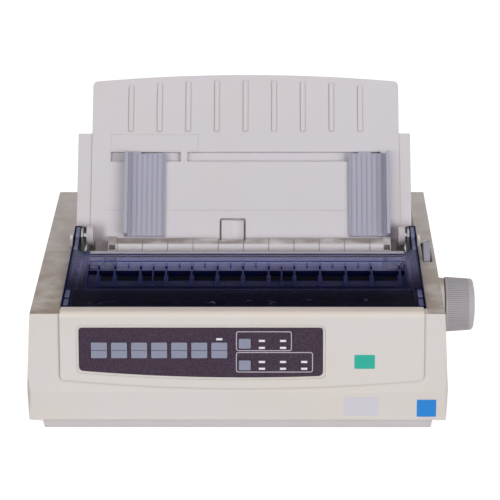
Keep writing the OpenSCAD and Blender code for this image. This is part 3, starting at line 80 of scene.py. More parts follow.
bpy.ops.object.camera_add(location=target - DISTANCE * view_dir)
camera = bpy.context.object
camera.rotation_euler = Matrix((right, up, -view_dir)).transposed().to_euler()
camera.data.sensor_width = SENSOR
camera.data.lens = SENSOR * LENS_PER_SENSOR
bpy.context.scene.camera = camera
print(f"camera {camera.location.length:.2f} m away, lens {camera.data.lens:.0f} mm")

# %% [markdown]
# ## Light
# A broad soft source stands to the right of the lens and a weaker one to its left, both low, so
# that the front of the case is bright and its top, which faces up, gets less than half of that.
# Suns with a wide angle do it: their light doesn't fall off across the machine, and the angle
# makes the shadows soft.

# %% Two soft suns
def soft_sun(name, azimuth, elevation, strength, spread):
    around, above = math.radians(azimuth), math.radians(elevation)
    towards = Vector((math.sin(around) * math.cos(above),
                      -math.cos(around) * math.cos(above),
                      math.sin(above)))
    bpy.ops.object.light_add(type="SUN", location=towards * 2)
    sun = bpy.context.object
    sun.name = name
    sun.rotation_euler = towards.to_track_quat("Z", "Y").to_euler()
    sun.data.energy = strength * math.pi
    sun.data.angle = math.radians(spread)
    print(f"{name}: {azimuth} degrees round, {elevation} up, {spread} wide")


soft_sun("key_light", azimuth=35, elevation=10, strength=0.525, spread=38)
soft_sun("fill_light", azimuth=-30, elevation=7, strength=0.43, spread=50)

# %% [markdown]
# The third light is a square panel above and behind the machine. It is an area light because its
# light has to fall off: it lifts the top behind the paper separator and leaves the front alone.
# It is a little warm, as light that came back from a wall.

# %% A panel behind
PANEL_PLACE, PANEL_AIM = Vector((0, 0.45, 0.62)), Vector((0, 0, 0.1))
PANEL_SIDE, PANEL_WATTS, WARM_WHITE = 0.8, 1.15, (1.0, 0.88, 0.85)

bpy.ops.object.light_add(type="AREA", location=PANEL_PLACE)
back_light = bpy.context.object
back_light.name = "back_light"
back_light.rotation_euler = (PANEL_PLACE - PANEL_AIM).to_track_quat("Z", "Y").to_euler()
back_light.data.size = PANEL_SIDE
back_light.data.energy = PANEL_WATTS
back_light.data.color = WARM_WHITE
print(f"back light {PANEL_SIDE} m wide, {PANEL_WATTS} W")

# %% [markdown]
# ## World and floor
# A shader is a tree of nodes. One small function adds a node with its settings and its links, so
# that each node is one statement here. An input that gets another node's output is linked, and
# one that gets a plain value keeps it.

# %% Add a node
def add(tree, kind, inputs=None, **settings):
    made = tree.nodes.new(kind)
    for name, value in settings.items():
        setattr(made, name, value)
    for key, value in (inputs or {}).items():
        if isinstance(value, bpy.types.NodeSocket):
            tree.links.new(value, made.inputs[key])
        else:
            made.inputs[key].default_value = value
    return made


print("a node is added in one call")

# %% [markdown]
# The world is plain white where the lens, a gloss or a clear plastic looks at it, and much weaker
# where it only lights a matt surface, so the light on the machine stays at a plain level. Light
# Path tells the two apart. The floor does the same: its matt part takes the printer's shadow, and
# a glow that only those rays see lifts it to white around the shadow.

# %% The world
AMBIENT = 0.20


def seen_share(tree):
    path = add(tree, "ShaderNodeLightPath").outputs
    first = add(tree, "ShaderNodeMath", {0: path["Is Camera Ray"], 1: path["Is Glossy Ray"]},
                operation="ADD")
    return add(tree, "ShaderNodeMath", {0: first.outputs[0], 1: path["Is Transmission Ray"]},
               operation="ADD", use_clamp=True).outputs[0]


world = bpy.context.scene.world or bpy.data.worlds.new("studio")
bpy.context.scene.world = world
world.use_nodes = True
sky = world.node_tree
sky_strength = add(sky, "ShaderNodeMapRange",
                   {"Value": seen_share(sky), "To Min": AMBIENT, "To Max": 1.0})
sky.nodes["Background"].inputs["Color"].default_value = (1, 1, 1, 1)
sky.links.new(sky_strength.outputs["Result"], sky.nodes["Background"].inputs["Strength"])
bpy.context.scene.view_settings.view_transform = "Standard"
print(f"ambient {AMBIENT}")

# %% The floor
FLOOR_SIDE = 30
FLOOR_GREY = (0.8, 0.8, 0.8, 1)
FLOOR_GLOW = 0.80

bpy.ops.object.select_all(action="DESELECT")
bpy.ops.mesh.primitive_plane_add(size=FLOOR_SIDE)
floor = bpy.context.object
floor.name = "floor"
paper = bpy.data.materials.new("white_paper")
paper.use_nodes = True
tree = paper.node_tree
tree.nodes.remove(tree.nodes["Principled BSDF"])
matt = add(tree, "ShaderNodeBsdfDiffuse", {"Color": FLOOR_GREY})
glow_strength = add(tree, "ShaderNodeMath", {0: seen_share(tree), 1: FLOOR_GLOW},
                    operation="MULTIPLY")
glow = add(tree, "ShaderNodeEmission", {"Strength": glow_strength.outputs[0]})
both = add(tree, "ShaderNodeAddShader", {0: matt.outputs[0], 1: glow.outputs[0]})
tree.links.new(both.outputs[0], tree.nodes["Material Output"].inputs["Surface"])
floor.data.materials.append(paper)
print(f"floor {FLOOR_SIDE} m wide, glow {FLOOR_GLOW}")

# %% [markdown]
# ## How a surface is finished
# Three things make a plain colour look like a made surface. Its gloss wanders a little where
# hands and cloths have rubbed it, its skin has a grain, and no moulded edge is a knife edge. One
# function gives all three: a wide noise on the roughness, a fine noise as bump, and a Bevel node
# that rounds the edges for the light while the mesh stays as it is.

# %% Skin of a surface
RUBBED_LOW, RUBBED_HIGH = 0.3, 0.7


def new_material(name):
    made = bpy.data.materials.new(name)
    made.use_nodes = True
    shader = made.node_tree.nodes["Principled BSDF"]
    coords = made.node_tree.nodes.new("ShaderNodeTexCoord").outputs["Object"]
    return made, made.node_tree, shader, coords


def skin(tree, shader, coords, rough, wander=0.05, rub_mm=40, grain_mm=1.6, depth_mm=0.02,
         edge_mm=0.8):
    rubbed = add(tree, "ShaderNodeTexNoise",
                 {"Vector": coords, "Scale": 1 / (rub_mm * MM), "Detail": 4.0})
    gloss = add(tree, "ShaderNodeMapRange",
                {"Value": rubbed.outputs["Fac"], "From Min": RUBBED_LOW, "From Max": RUBBED_HIGH,
                 "To Min": rough - wander, "To Max": rough + wander})
    tree.links.new(gloss.outputs["Result"], shader.inputs["Roughness"])
    rounded = add(tree, "ShaderNodeBevel", {"Radius": edge_mm * MM}, samples=4)
    grain = add(tree, "ShaderNodeTexNoise",
                {"Vector": coords, "Scale": 1 / (grain_mm * MM), "Detail": 2.0})
    bump = add(tree, "ShaderNodeBump",
               {"Height": grain.outputs["Fac"], "Distance": depth_mm * MM, "Strength": 1.0,
                "Normal": rounded.outputs["Normal"]})
    tree.links.new(bump.outputs["Normal"], shader.inputs["Normal"])
    return rounded


def dress(material, *names):
    for name in names:
        nodes[name].data.materials.clear()
        nodes[name].data.materials.append(material)
    print(f"{material.name}: {len(names)} nodes")


# %% [markdown]
# ## Colours and masks
# A colour is written as the sRGB hex value that a paint chart gives, and turned to the linear
# value that a shader counts in. A mask says where a colour lies, as a product of soft steps. Each
# step grows from 0 to 1 while a value runs from its start to its end, and a step with a middle
# goes by the distance from that middle, to both sides.

# %% Colour and mask
def linear(hex_colour):
    channels = [int(hex_colour[i:i + 2], 16) / 255 for i in (1, 3, 5)]
    return [c / 12.92 if c <= 0.04045 else ((c + 0.055) / 1.055) ** 2.4 for c in channels] + [1.0]


def share_where(tree, *steps, share=1.0):
    for value, start, end, *middle in steps:
        if middle:
            offset = add(tree, "ShaderNodeMath", {0: value, 1: middle[0]}, operation="SUBTRACT")
            distance = add(tree, "ShaderNodeMath", {0: offset.outputs[0]}, operation="ABSOLUTE")
            value = distance.outputs[0]
        step = add(tree, "ShaderNodeMapRange",
                   {"Value": value, "From Min": start, "From Max": end})
        both = add(tree, "ShaderNodeMath", {0: share, 1: step.outputs["Result"]},
                   operation="MULTIPLY")
        share = both.outputs[0]
    return share


print(f"middle grey #808080 is {linear('#808080')[0]:.3f} in linear light")

# %% [markdown]
# ## Moulded plastics
# Most of the outside is ABS, injection moulded in a spark-eroded mould, whose fine even grain
# scatters the light. The grain of about 0.1 mm is drawn at 1.6 mm, since a finer one wouldn't
# show here. Daylight yellows the plastic in soft patches. The faces that look up get a darker
# colour that is partly dust and partly painted shade. A wide noise drives the patches and the
# surface direction drives the dust and shade. That layer is painted heavier at the front, so its
# share falls along Y, and this paints the front of the top darker than its back.

# %% Patches of age, and dust with painted shade
PATCH_MM, SMUDGE_MM = 70, 24.5
PATCH_STARTS, PATCH_FULL = 0.40, 0.70
SMUDGE_STARTS, SMUDGE_FULL = 0.25, 0.60
TILTED, LEVEL = 0.85, 0.99
REACH, REAR_SHARE = 170 * MM, 0.15


def aged_colour(tree, coords, colour, aged, most):
    patches = add(tree, "ShaderNodeTexNoise",
                  {"Vector": coords, "Scale": 1 / (PATCH_MM * MM), "Detail": 3.0})
    share = add(tree, "ShaderNodeMapRange",
                {"Value": patches.outputs["Fac"], "From Min": PATCH_STARTS,
                 "From Max": PATCH_FULL, "To Max": most})
    mix = add(tree, "ShaderNodeMix",
              {0: share.outputs["Result"], 6: linear(colour), 7: linear(aged)}, data_type="RGBA")
    return mix.outputs[2]


# Dust and painted shade on the faces that look up, painted heavier at the front.
def dust_and_shade_share(tree, coords, along, lift, most):
    smudges = add(tree, "ShaderNodeTexNoise",
                  {"Vector": coords, "Scale": 1 / (SMUDGE_MM * MM), "Detail": 5.0})
    reach = add(tree, "ShaderNodeMapRange",
                {"Value": along, "From Min": -REACH, "From Max": REACH, "To Min": most,
                 "To Max": REAR_SHARE * most})
    upward = add(tree, "ShaderNodeMapRange",
                 {"Value": lift, "From Min": TILTED, "From Max": LEVEL,
                  "To Max": reach.outputs["Result"]})
    share = add(tree, "ShaderNodeMapRange",
                {"Value": smudges.outputs["Fac"], "From Min": SMUDGE_STARTS,
                 "From Max": SMUDGE_FULL, "To Max": upward.outputs["Result"]})
    return share.outputs["Result"]


print(f"patches of {PATCH_MM} mm, dust that thins out over {2 * REACH / MM:.0f} mm")

# %% [markdown]
# Handling wears the raised edges, and the inner corners get a darker colour that is partly dirt
# and partly painted shade. The difference between the true and the rounded direction finds the
# outer edges, and ambient occlusion over a few millimetres the inner corners. Two places have a
# painted light of their own. The slanted strip along the front top edge, where the cover comes
# down, is painted lighter as a highlight. The lower corners of the separator, round its hinge,
# get a painted shade that grows darker towards the bottom. Every such thing is a layer: a share,
# and the colour that it brings.

# %% A moulded plastic
COVER_MID = -10.5 * MM
STRIP_HALF, STRIP_Y = 160 * MM, -150.5 * MM
FOOT_SHADE_X, FOOT_SHADE_SOFT, FOOT_SHADE_LOW, FOOT_SHADE_HIGH = 129 * MM, 6 * MM, 110 * MM, 130 * MM
SHARP, NEARLY_FLAT, EDGE_MOST = 0.80, 0.98, 0.35
DEEP_CORNER, OPEN_FACE, DIRT_AND_SHADE_MOST = 0.5, 0.95, 0.6


def edge_share(tree, rounded, facing, flat, most):
    same = add(tree, "ShaderNodeVectorMath",
               {0: rounded.outputs["Normal"], 1: facing.outputs["Normal"]},
               operation="DOT_PRODUCT")
    share = add(tree, "ShaderNodeMapRange",
                {"Value": same.outputs["Value"], "From Min": SHARP, "From Max": flat,
                 "To Min": most, "To Max": 0.0})
    return share.outputs["Result"]


def moulded_plastic(name, colour, aged, dusty, dirty_and_shaded, rough=0.55, specular=0.3, aged_most=0.5,
                    dust_and_shade_most=0.7, edge_mm=0.8, dirt_and_shade_mm=3.0, highlight=None, shaded_foot=None):
    material, tree, shader, coords = new_material(name)
    rounded = skin(tree, shader, coords, rough, edge_mm=edge_mm)
    facing = add(tree, "ShaderNodeNewGeometry")
    lift = add(tree, "ShaderNodeSeparateXYZ", {0: facing.outputs["Normal"]}).outputs["Z"]
    place = add(tree, "ShaderNodeSeparateXYZ", {0: coords}).outputs
    layers = [(dust_and_shade_share(tree, coords, place["Y"], lift, dust_and_shade_most), dusty)]
    # A slanted strip along the front top edge is painted lighter, a painted highlight.
    if highlight:
        strip = share_where(tree, (place["X"], STRIP_HALF + MM, STRIP_HALF - MM, COVER_MID),
                            (place["Y"], STRIP_Y, STRIP_Y - MM), (lift, 0.1, 0.7))
        layers.append((strip, highlight))
    # The separator's lower corners round its hinge get a painted shade, darker towards the bottom.
    if shaded_foot:
        foot_shade = share_where(tree, (place["X"], FOOT_SHADE_X, FOOT_SHADE_X + FOOT_SHADE_SOFT, COVER_MID),
                            (place["Z"], FOOT_SHADE_HIGH, FOOT_SHADE_LOW))
        layers.append((foot_shade, shaded_foot))
    # Inner corners found by ambient occlusion get a darker colour: dirt and painted shade.
    corner = add(tree, "ShaderNodeAmbientOcclusion", {"Distance": dirt_and_shade_mm * MM}, samples=6)
    dirt_and_shade = add(tree, "ShaderNodeMapRange",
               {"Value": corner.outputs["AO"], "From Min": DEEP_CORNER, "From Max": OPEN_FACE,
                "To Min": DIRT_AND_SHADE_MOST, "To Max": 0.0})
    layers += [(edge_share(tree, rounded, facing, NEARLY_FLAT, EDGE_MOST), aged),
               (dirt_and_shade.outputs["Result"], dirty_and_shaded)]
    tint = aged_colour(tree, coords, colour, aged, aged_most)
    for share, brought in layers:
        mix = add(tree, "ShaderNodeMix", {0: share, 6: tint, 7: linear(brought)},
                  data_type="RGBA")
        tint = mix.outputs[2]
    tree.links.new(tint, shader.inputs["Base Color"])
    shader.inputs["Specular IOR Level"].default_value = specular
    return material


print(f"wiped strip {2 * STRIP_HALF / MM:.0f} mm wide")

# %% The case, the plinth and the paper separator
# The light strip along the case's front top edge is a painted highlight.
warm_abs = moulded_plastic("moulded_abs_warm_grey", "#e0dbd9", "#e0d6c9", "#a3917f", "#a79b94",
                           dust_and_shade_most=0.95, aged_most=0.4, highlight="#f8ede2")
plinth_abs = moulded_plastic("moulded_abs_lavender_grey", "#d0cace", "#d2cbc7", "#b8adaa",
                             "#8f8788")
# The separator's lower corners round its hinge get a painted shade.
separator_abs = moulded_plastic("moulded_abs_pale_lilac", "#ded9df", "#ded7d4", "#cbc1bf",
                                "#ada4a8", dust_and_shade_most=0.6, dirt_and_shade_mm=1.6, shaded_foot="#978c90")
# The guide bar's pale base paints its rounded nose lit; its heavy dust on up-facing faces is dust
# and painted shade.
bar_abs = moulded_plastic("moulded_abs_guide_bar", "#f4eff3", "#f2ebe8", "#a0958f", "#8e8589",
                          dust_and_shade_most=1.7, dirt_and_shade_mm=4.0)
dress(warm_abs, "upper_case")
dress(plinth_abs, "lower_case")
dress(separator_abs, "paper_separator")
dress(bar_abs, "paper_guide_bar")

# %% Knob, keys, guides and lever
guide_plastic = moulded_plastic("moulded_abs_blue_grey", "#b6b5c6", "#b7b3be", "#a9a5ae",
                                "#a09cab", rough=0.45, dirt_and_shade_mm=0.6, edge_mm=0.25)
knob_plastic = moulded_plastic("moulded_abs_grey", "#c8c3ca", "#cbc4c5", "#b5aeb1", "#8d878c",
                               rough=0.42, edge_mm=1.2)
key_plastic = moulded_plastic("moulded_abs_key_grey", "#9195ab", "#9192a4", "#858799", "#565863",
                              rough=0.4, edge_mm=0.6)
lever_plastic = moulded_plastic("moulded_abs_lever_grey", "#9c9ba9", "#9c99a3", "#8f8c96",
                                "#5d5b66", rough=0.4)
dress(guide_plastic, "left_sheet_guide", "right_sheet_guide")
dress(lever_plastic, "paper_lever")
dress(knob_plastic, "platen_knob")
dress(key_plastic, *[f"key_{i}" for i in range(1, 10)])

# %% [markdown]
# Inside, the ribbon cartridge, the sprockets and the sockets are black ABS. The tractors and the
# carriage are nylon stiffened with glass fibre, which keeps a duller skin. Gears and bushes are
# acetal, a milky plastic that runs without oil.

# %% The mouldings inside
dark_moulding = moulded_plastic("moulded_abs_black", "#17171a", "#1d1c1f", "#2b292c", "#0f0f11",
                                rough=0.5, specular=0.08)
grey_moulding = moulded_plastic("glass_filled_nylon_grey", "#54545a", "#5a5856", "#68635f",
                                "#333336", rough=0.5, specular=0.15)
acetal = moulded_plastic("acetal_natural", "#e3ddcb", "#dfd3b4", "#cfc3a8", "#8f8674", rough=0.38)
ribbon_blue = moulded_plastic("moulded_abs_blue", "#4d6fa8", "#50689a", "#5d6a8c", "#2c3f63",
                              rough=0.4)
dress(dark_moulding, "ribbon_cartridge", "ac_inlet", "power_switch", "left_sprocket",
      "right_sprocket")
dress(grey_moulding, "left_tractor", "right_tractor", "left_tractor_lid", "right_tractor_lid",
      "carriage")
dress(acetal, "platen_gear", "tractor_idler_gear", "platen_bushes", "idler_pulley")
dress(ribbon_blue, "ribbon_knob")

# %% [markdown]
# ## The smoked cover
# The cover is clear acrylic with a smoky blue tint, injection moulded and polished. Seen through
# the flat sheet, what lies under it turns dusky. Through a wall the light has a much longer way
# in the plastic, so walls turn a deep ink blue. At every thin rib and edge the light that runs
# along inside the sheet would come out again as a bright blue line, and here that line is a
# painted highlight. The direction that a face has on the piece finds the walls, and a Bevel node
# finds the edges.
#
# The rest goes by the place on the piece, so it starts with masks along X and Y. Behind the clear
# front the paper has rubbed the sheet hazy. The tray ends in a lip painted pale, a painted
# highlight along it, and a clearer band lies in front of it. Where a wall stands under the sheet,
# at the lip's root, at the tray's foot and at its front, the eye looks along the plastic and sees
# a dark line, and a brighter line, a painted glint, parts the last one from the foam. The front
# corners are thick pads with two pale panes each, a dark rim runs down both sides, and the hinge
# arms are pale with dark outlines.

# %% Places in the tray
TRAY_MID, TRAY_HALF = -8.3 * MM, 144 * MM
SOFT, BLUR = 0.4 * MM, 0.3 * MM
CLEAR_Y, TRAY_Y, BAND_Y, ROOT_Y, LIP_Y = (y * MM for y in (-104, -55, -48, -33, -30))
FOOT_MID, FOOT_HALF = -59 * MM, 3.5 * MM
FRONT_MID, FRONT_HALF = -108.3 * MM, 1.9 * MM
GLINT_MID, GLINT_HALF = -113 * MM, 1.5 * MM
RUBBED_BESIDE = 0.95

smoked, tree, shader, coords = new_material("smoked_blue_acrylic")
place = add(tree, "ShaderNodeSeparateXYZ", {0: coords}).outputs
inside = share_where(tree, (place["X"], TRAY_HALF + MM, TRAY_HALF - MM, TRAY_MID))
rubbed_most = add(tree, "ShaderNodeMapRange", {"Value": inside, "To Min": RUBBED_BESIDE})
rubbed = share_where(tree, (place["Y"], CLEAR_Y, TRAY_Y), share=rubbed_most.outputs["Result"])
band = share_where(tree, (place["Y"], BAND_Y - MM, BAND_Y), share=inside)
root = share_where(tree, (place["Y"], ROOT_Y, ROOT_Y + SOFT), share=inside)
# The lip is painted pale, a painted highlight along it.
lit_lip = share_where(tree, (place["Y"], LIP_Y, LIP_Y + SOFT), share=inside)
# The last of these three, just before the foam, is a brighter line painted as a glint.
foot, front, foam_edge_glint = (
    share_where(tree, (place["Y"], half + BLUR, half - BLUR, middle), share=inside)
    for middle, half in ((FOOT_MID, FOOT_HALF), (FRONT_MID, FRONT_HALF), (GLINT_MID, GLINT_HALF)))
lines = add(tree, "ShaderNodeMath", {0: foot, 1: front}, operation="MAXIMUM").outputs[0]
print(f"tray {2 * TRAY_HALF / MM:.0f} mm wide, lip behind y {LIP_Y / MM:.0f} mm")

# %% Places on the pads and the arms
PAD_INNER, RIM_INNER, PAD_Y = 152.3 * MM, 157.6 * MM, -110.5 * MM
PANE_INNER, PANE_MID, BRIDGE_HALF, PANE_END = 153.6 * MM, -129.5 * MM, 1.2 * MM, 18 * MM
ARM_INNER, ARM_Y, ARM_END_Y = 154.2 * MM, -22 * MM, 24.2 * MM

pads = share_where(tree, (place["X"], PAD_INNER, PAD_INNER + SOFT, COVER_MID),
                   (place["Y"], PAD_Y, PAD_Y - MM))
sides = share_where(tree, (place["X"], RIM_INNER, RIM_INNER + SOFT, COVER_MID))
rims = add(tree, "ShaderNodeMath", {0: sides, 1: pads}, operation="MAXIMUM").outputs[0]
panes = share_where(tree, (place["X"], PANE_INNER, PANE_INNER + SOFT, COVER_MID),
                    (place["X"], RIM_INNER + SOFT, RIM_INNER, COVER_MID),
                    (place["Y"], BRIDGE_HALF, BRIDGE_HALF + 0.5 * MM, PANE_MID),
                    (place["Y"], PANE_END + 2 * BLUR, PANE_END, PANE_MID))
arms = share_where(tree, (place["X"], TRAY_HALF - MM, TRAY_HALF + MM, TRAY_MID),
                   (place["Y"], ARM_Y, ARM_Y + 3 * MM))
arm_side = share_where(tree, (place["X"], ARM_INNER + SOFT, ARM_INNER, COVER_MID), share=arms)
arm_end = share_where(tree, (place["Y"], ARM_END_Y, ARM_END_Y + SOFT), share=arms)
outline = add(tree, "ShaderNodeMath", {0: arm_side, 1: arm_end}, operation="MAXIMUM").outputs[0]
trim = add(tree, "ShaderNodeMath", {0: rims, 1: outline}, operation="MAXIMUM").outputs[0]
print(f"pads beyond {PAD_INNER / MM:.1f} mm, rims beyond {RIM_INNER / MM:.1f} mm")

# %% [markdown]
# The finish is built up in layers again, each with its colour and with the share of the light
# that it lets through. The rubbed sheet is mottled by a noise that mixes two close colours. The
# index of refraction is kept near that of air: at this low angle the real 1.49 would mirror the
# white room instead of showing the dark machine.

# %% Smoked acrylic
CLEAREST, NEAR_AIR = 0.95, 1.025
LEVEL_FACE, STEEP_FACE = 0.85, 0.35
RUB_MM = 30


def mottled(tree, coords, first, second, size_mm, detail=2.0):
    noise = add(tree, "ShaderNodeTexNoise",
                {"Vector": coords, "Scale": 1 / (size_mm * MM), "Detail": detail})
    mix = add(tree, "ShaderNodeMix",
              {0: noise.outputs["Fac"], 6: linear(first), 7: linear(second)}, data_type="RGBA")
    return mix.outputs[2]


own_side = add(tree, "ShaderNodeTexCoord").outputs["Normal"]
own_up = add(tree, "ShaderNodeSeparateXYZ", {0: own_side}).outputs["Z"]
level = add(tree, "ShaderNodeMath", {0: own_up}, operation="ABSOLUTE").outputs[0]
walls = share_where(tree, (level, LEVEL_FACE, STEEP_FACE))
rounded = skin(tree, shader, coords, 0.06, wander=0.03, rub_mm=25, grain_mm=6, depth_mm=0.003,
               edge_mm=0.9)
# A bright blue line painted on every edge: a painted highlight for light piped along the sheet.
glow_edges = edge_share(tree, rounded, add(tree, "ShaderNodeNewGeometry"), flat=0.99, most=1.0)
wall_blue = add(tree, "ShaderNodeMix", {0: inside, 6: linear("#5f72a0"), 7: linear("#1d2f78")},
                data_type="RGBA").outputs[2]
edge_glow_blue = add(tree, "ShaderNodeMix", {0: inside, 6: linear("#0e1740"), 7: linear("#3654b8")},
                data_type="RGBA").outputs[2]

tint = linear("#62628a")
# The pale lip, the bright line before the foam and the blue edge lines are painted highlights.
for share, colour in ((rubbed, mottled(tree, coords, "#9c9cc0", "#a7a6c9", RUB_MM, 3.0)),
                      (band, linear("#c6c5e2")), (walls, wall_blue), (arms, linear("#b9bfde")),
                      (glow_edges, edge_glow_blue), (foam_edge_glint, linear("#8c8eb6")), (trim, linear("#141b4c")),
                      (lines, linear("#10163f")), (panes, linear("#a0a2c8")),
                      (root, linear("#141c52")), (lit_lip, linear("#d4cfd8"))):
    mix = add(tree, "ShaderNodeMix", {0: share, 6: tint, 7: colour}, data_type="RGBA")
    tint = mix.outputs[2]
through = CLEAREST
for share, passing in ((rubbed, 0.70), (band, 0.80), (walls, 0.70), (arms, 0.45), (glow_edges, 0.35),
                       (foam_edge_glint, 0.88), (rims, 0.30), (lines, 0.40), (panes, 0.55), (root, 0.30),
                       (lit_lip, 0.15)):
    step = add(tree, "ShaderNodeMapRange", {"Value": share, "To Min": through, "To Max": passing})
    through = step.outputs["Result"]
tree.links.new(tint, shader.inputs["Base Color"])
tree.links.new(through, shader.inputs["Transmission Weight"])
shader.inputs["IOR"].default_value = NEAR_AIR
dress(smoked, "access_cover")

# %% [markdown]
# ## Foam under the cover
# The strip that deadens the print noise is open-cell polyether foam. Its cells are under a
# millimetre wide; they are drawn at 1.4 mm so that they show, as a cell pattern that sinks between
# the threads. Paper dust stays on it as specks, which are the higher peaks of a noise. Lint lies
# on it as a few curled threads: a wide noise passes its middle value along long curved lines, and
# a second one keeps only short pieces of them.

# %% Open-cell foam
CELL_MM, CELL_DEPTH = 1.4, 0.5 * MM
SPECK_MM, SPECK_PEAKS = 2.8, (0.52, 0.78)
THREAD_MM, THREAD_LINE = 22, (0.012, 0.004, 0.5)
PIECE_MM, PIECES_KEPT = 13, (0.61, 0.67)

foam, tree, shader, coords = new_material("open_cell_foam_black")
cells = add(tree, "ShaderNodeTexVoronoi", {"Vector": coords, "Scale": 1 / (CELL_MM * MM)})
bump = add(tree, "ShaderNodeBump",
           {"Height": cells.outputs["Distance"], "Distance": CELL_DEPTH, "Strength": 0.6})
specks, waves, pieces = (
    add(tree, "ShaderNodeTexNoise",
        {"Vector": coords, "Scale": 1 / (size_mm * MM), "Detail": detail}).outputs["Fac"]
    for size_mm, detail in ((SPECK_MM, 1.0), (THREAD_MM, 1.0), (PIECE_MM, 0.0)))
dusty = share_where(tree, (specks, *SPECK_PEAKS))
lint = share_where(tree, (waves, *THREAD_LINE), (pieces, *PIECES_KEPT))
tint = linear("#0a0a10")
for share, colour in ((dusty, "#3a3a45"), (lint, "#8e8e9b")):
    mix = add(tree, "ShaderNodeMix", {0: share, 6: tint, 7: linear(colour)}, data_type="RGBA")
    tint = mix.outputs[2]
tree.links.new(tint, shader.inputs["Base Color"])
tree.links.new(bump.outputs["Normal"], shader.inputs["Normal"])
shader.inputs["Roughness"].default_value = 0.95
shader.inputs["Specular IOR Level"].default_value = 0.02
dress(foam, "cover_foam")

# %% [markdown]
# ## Control panel
# The panel round the keys is a printed polyester film, satin on top. Its ink is a deep plum that
# has faded a little unevenly, with the grain of the screen that it was printed through. The lamp
# windows are clear diffusing plastic, which looks milky.

# %% Printed film and lamp windows
FADE_MM, SCREEN_MM, MILK_MM = 30, 1.8, 5
SCREEN_GRAIN = (0.4, 0.7)

film, tree, shader, coords = new_material("printed_polyester_film")
screen = add(tree, "ShaderNodeTexNoise",
             {"Vector": coords, "Scale": 1 / (SCREEN_MM * MM), "Detail": 2.0})
printed = add(tree, "ShaderNodeMix",
              {0: share_where(tree, (screen.outputs["Fac"], *SCREEN_GRAIN)),
               6: mottled(tree, coords, "#352537", "#3c2b3d", FADE_MM, 4.0),
               7: linear("#493a4a")}, data_type="RGBA")
tree.links.new(printed.outputs[2], shader.inputs["Base Color"])
shader.inputs["Specular IOR Level"].default_value = 0.2
skin(tree, shader, coords, 0.4, grain_mm=1.2, depth_mm=0.008, edge_mm=0.3)
dress(film, "control_overlay")

window, tree, shader, coords = new_material("diffusing_polycarbonate")
tree.links.new(mottled(tree, coords, "#f6f3fa", "#ece9f1", MILK_MM), shader.inputs["Base Color"])
skin(tree, shader, coords, 0.3, grain_mm=1.2, depth_mm=0.006, edge_mm=0.4)
dress(window, "lamp_windows")

# %% [markdown]
# ## Rubber
# Platen, pinch rollers, feet and belt are rubber. A platen is ground on a lathe, so its skin is
# even and only faintly glossy, and ink dust makes it uneven. Rubber keeps a low gloss all over.

# %% A rubber
INK_DUST_MM, INK_DUST = 12, (0.4, 0.75)


def rubber(name, colour, dusty, rough):
    material, tree, shader, coords = new_material(name)
    dust = add(tree, "ShaderNodeTexNoise",
               {"Vector": coords, "Scale": 1 / (INK_DUST_MM * MM), "Detail": 5.0})
    mix = add(tree, "ShaderNodeMix",
              {0: share_where(tree, (dust.outputs["Fac"], *INK_DUST)), 6: linear(colour),
               7: linear(dusty)}, data_type="RGBA")
    tree.links.new(mix.outputs[2], shader.inputs["Base Color"])
    shader.inputs["Specular IOR Level"].default_value = 0.12
    skin(tree, shader, coords, rough, grain_mm=1.0, depth_mm=0.03)
    return material


dress(rubber("ground_platen_rubber", "#141417", "#1d1c1e", 0.6), "platen_roller", "pinch_rollers")
dress(rubber("moulded_foot_rubber", "#232224", "#353234", 0.75), "rubber_feet")
dress(rubber("belt_rubber_black", "#191919", "#2a2827", 0.65), "carriage_belt")

# %% [markdown]
# ## Metals and paint
# Shafts are ground steel, whose fine marks run round them; the frames are sheet steel with a zinc
# coat that crystallises in pale and grey patches; the head is a cast alloy, dull and even; and the
# small pinion is turned brass. A noise stretched along one axis makes the marks, and an even one
# the patches.

# %% A metal
ROUND_THE_SHAFT = (1, 0.2, 0.2)
ALONG_X = (0.05, 1, 1)
ALONG_THE_STACK = (0.03, 0.03, 1)
ALL_WAYS = (1, 1, 1)


def metal(name, colour, second, rough, marks, metallic=1.0, mark_mm=1.5, specular=0.5):
    material, tree, shader, coords = new_material(name)
    stretched = add(tree, "ShaderNodeMapping", {"Vector": coords, "Scale": marks})
    tree.links.new(mottled(tree, stretched.outputs["Vector"], colour, second, mark_mm, 3.0),
                   shader.inputs["Base Color"])
    shader.inputs["Metallic"].default_value = metallic
    shader.inputs["Specular IOR Level"].default_value = specular
    skin(tree, shader, coords, rough, wander=0.08, rub_mm=15, grain_mm=1.2, depth_mm=0.004,
         edge_mm=0.5)
    return material


dress(metal("ground_steel", "#c4c5c8", "#a9aaae", 0.28, ROUND_THE_SHAFT),
      "hinge_pins", "platen_shaft", "tractor_drive_shaft", "tractor_support_shaft",
      "carriage_shaft", "motor_pulley", "case_screws", "interface_connector")
dress(metal("zinc_plated_sheet", "#b6b8b8", "#989b9c", 0.42, ALL_WAYS, mark_mm=6),
      "chassis_plate", "side_frame_left", "side_frame_right")
dress(metal("turned_brass", "#c6a161", "#ad8748", 0.32, ROUND_THE_SHAFT), "feed_pinion")
dress(metal("cast_head_alloy", "#9ea0a4", "#85878b", 0.45, ALL_WAYS, mark_mm=2), "print_head")

# %% [markdown]
# Painted sheet isn't metallic on top. The pan under the platen has a satin black paint, the motor
# cans a greyer one, and the transformer's core is a stack of varnished laminations, which shows
# as fine brown layers.

# %% Painted and varnished sheet
dress(metal("satin_black_paint", "#0d0e1c", "#151624", 0.5, ALL_WAYS, metallic=0.0, mark_mm=5,
            specular=0.03), "paper_pan")
dress(metal("motor_can_paint", "#3a3a3e", "#434347", 0.4, ALONG_X, metallic=0.0, mark_mm=3,
            specular=0.15), "feed_motor", "spacing_motor")
dress(metal("varnished_laminations", "#6b5a48", "#51443a", 0.5, ALONG_THE_STACK, metallic=0.0,
            mark_mm=0.9, specular=0.15), "power_transformer")

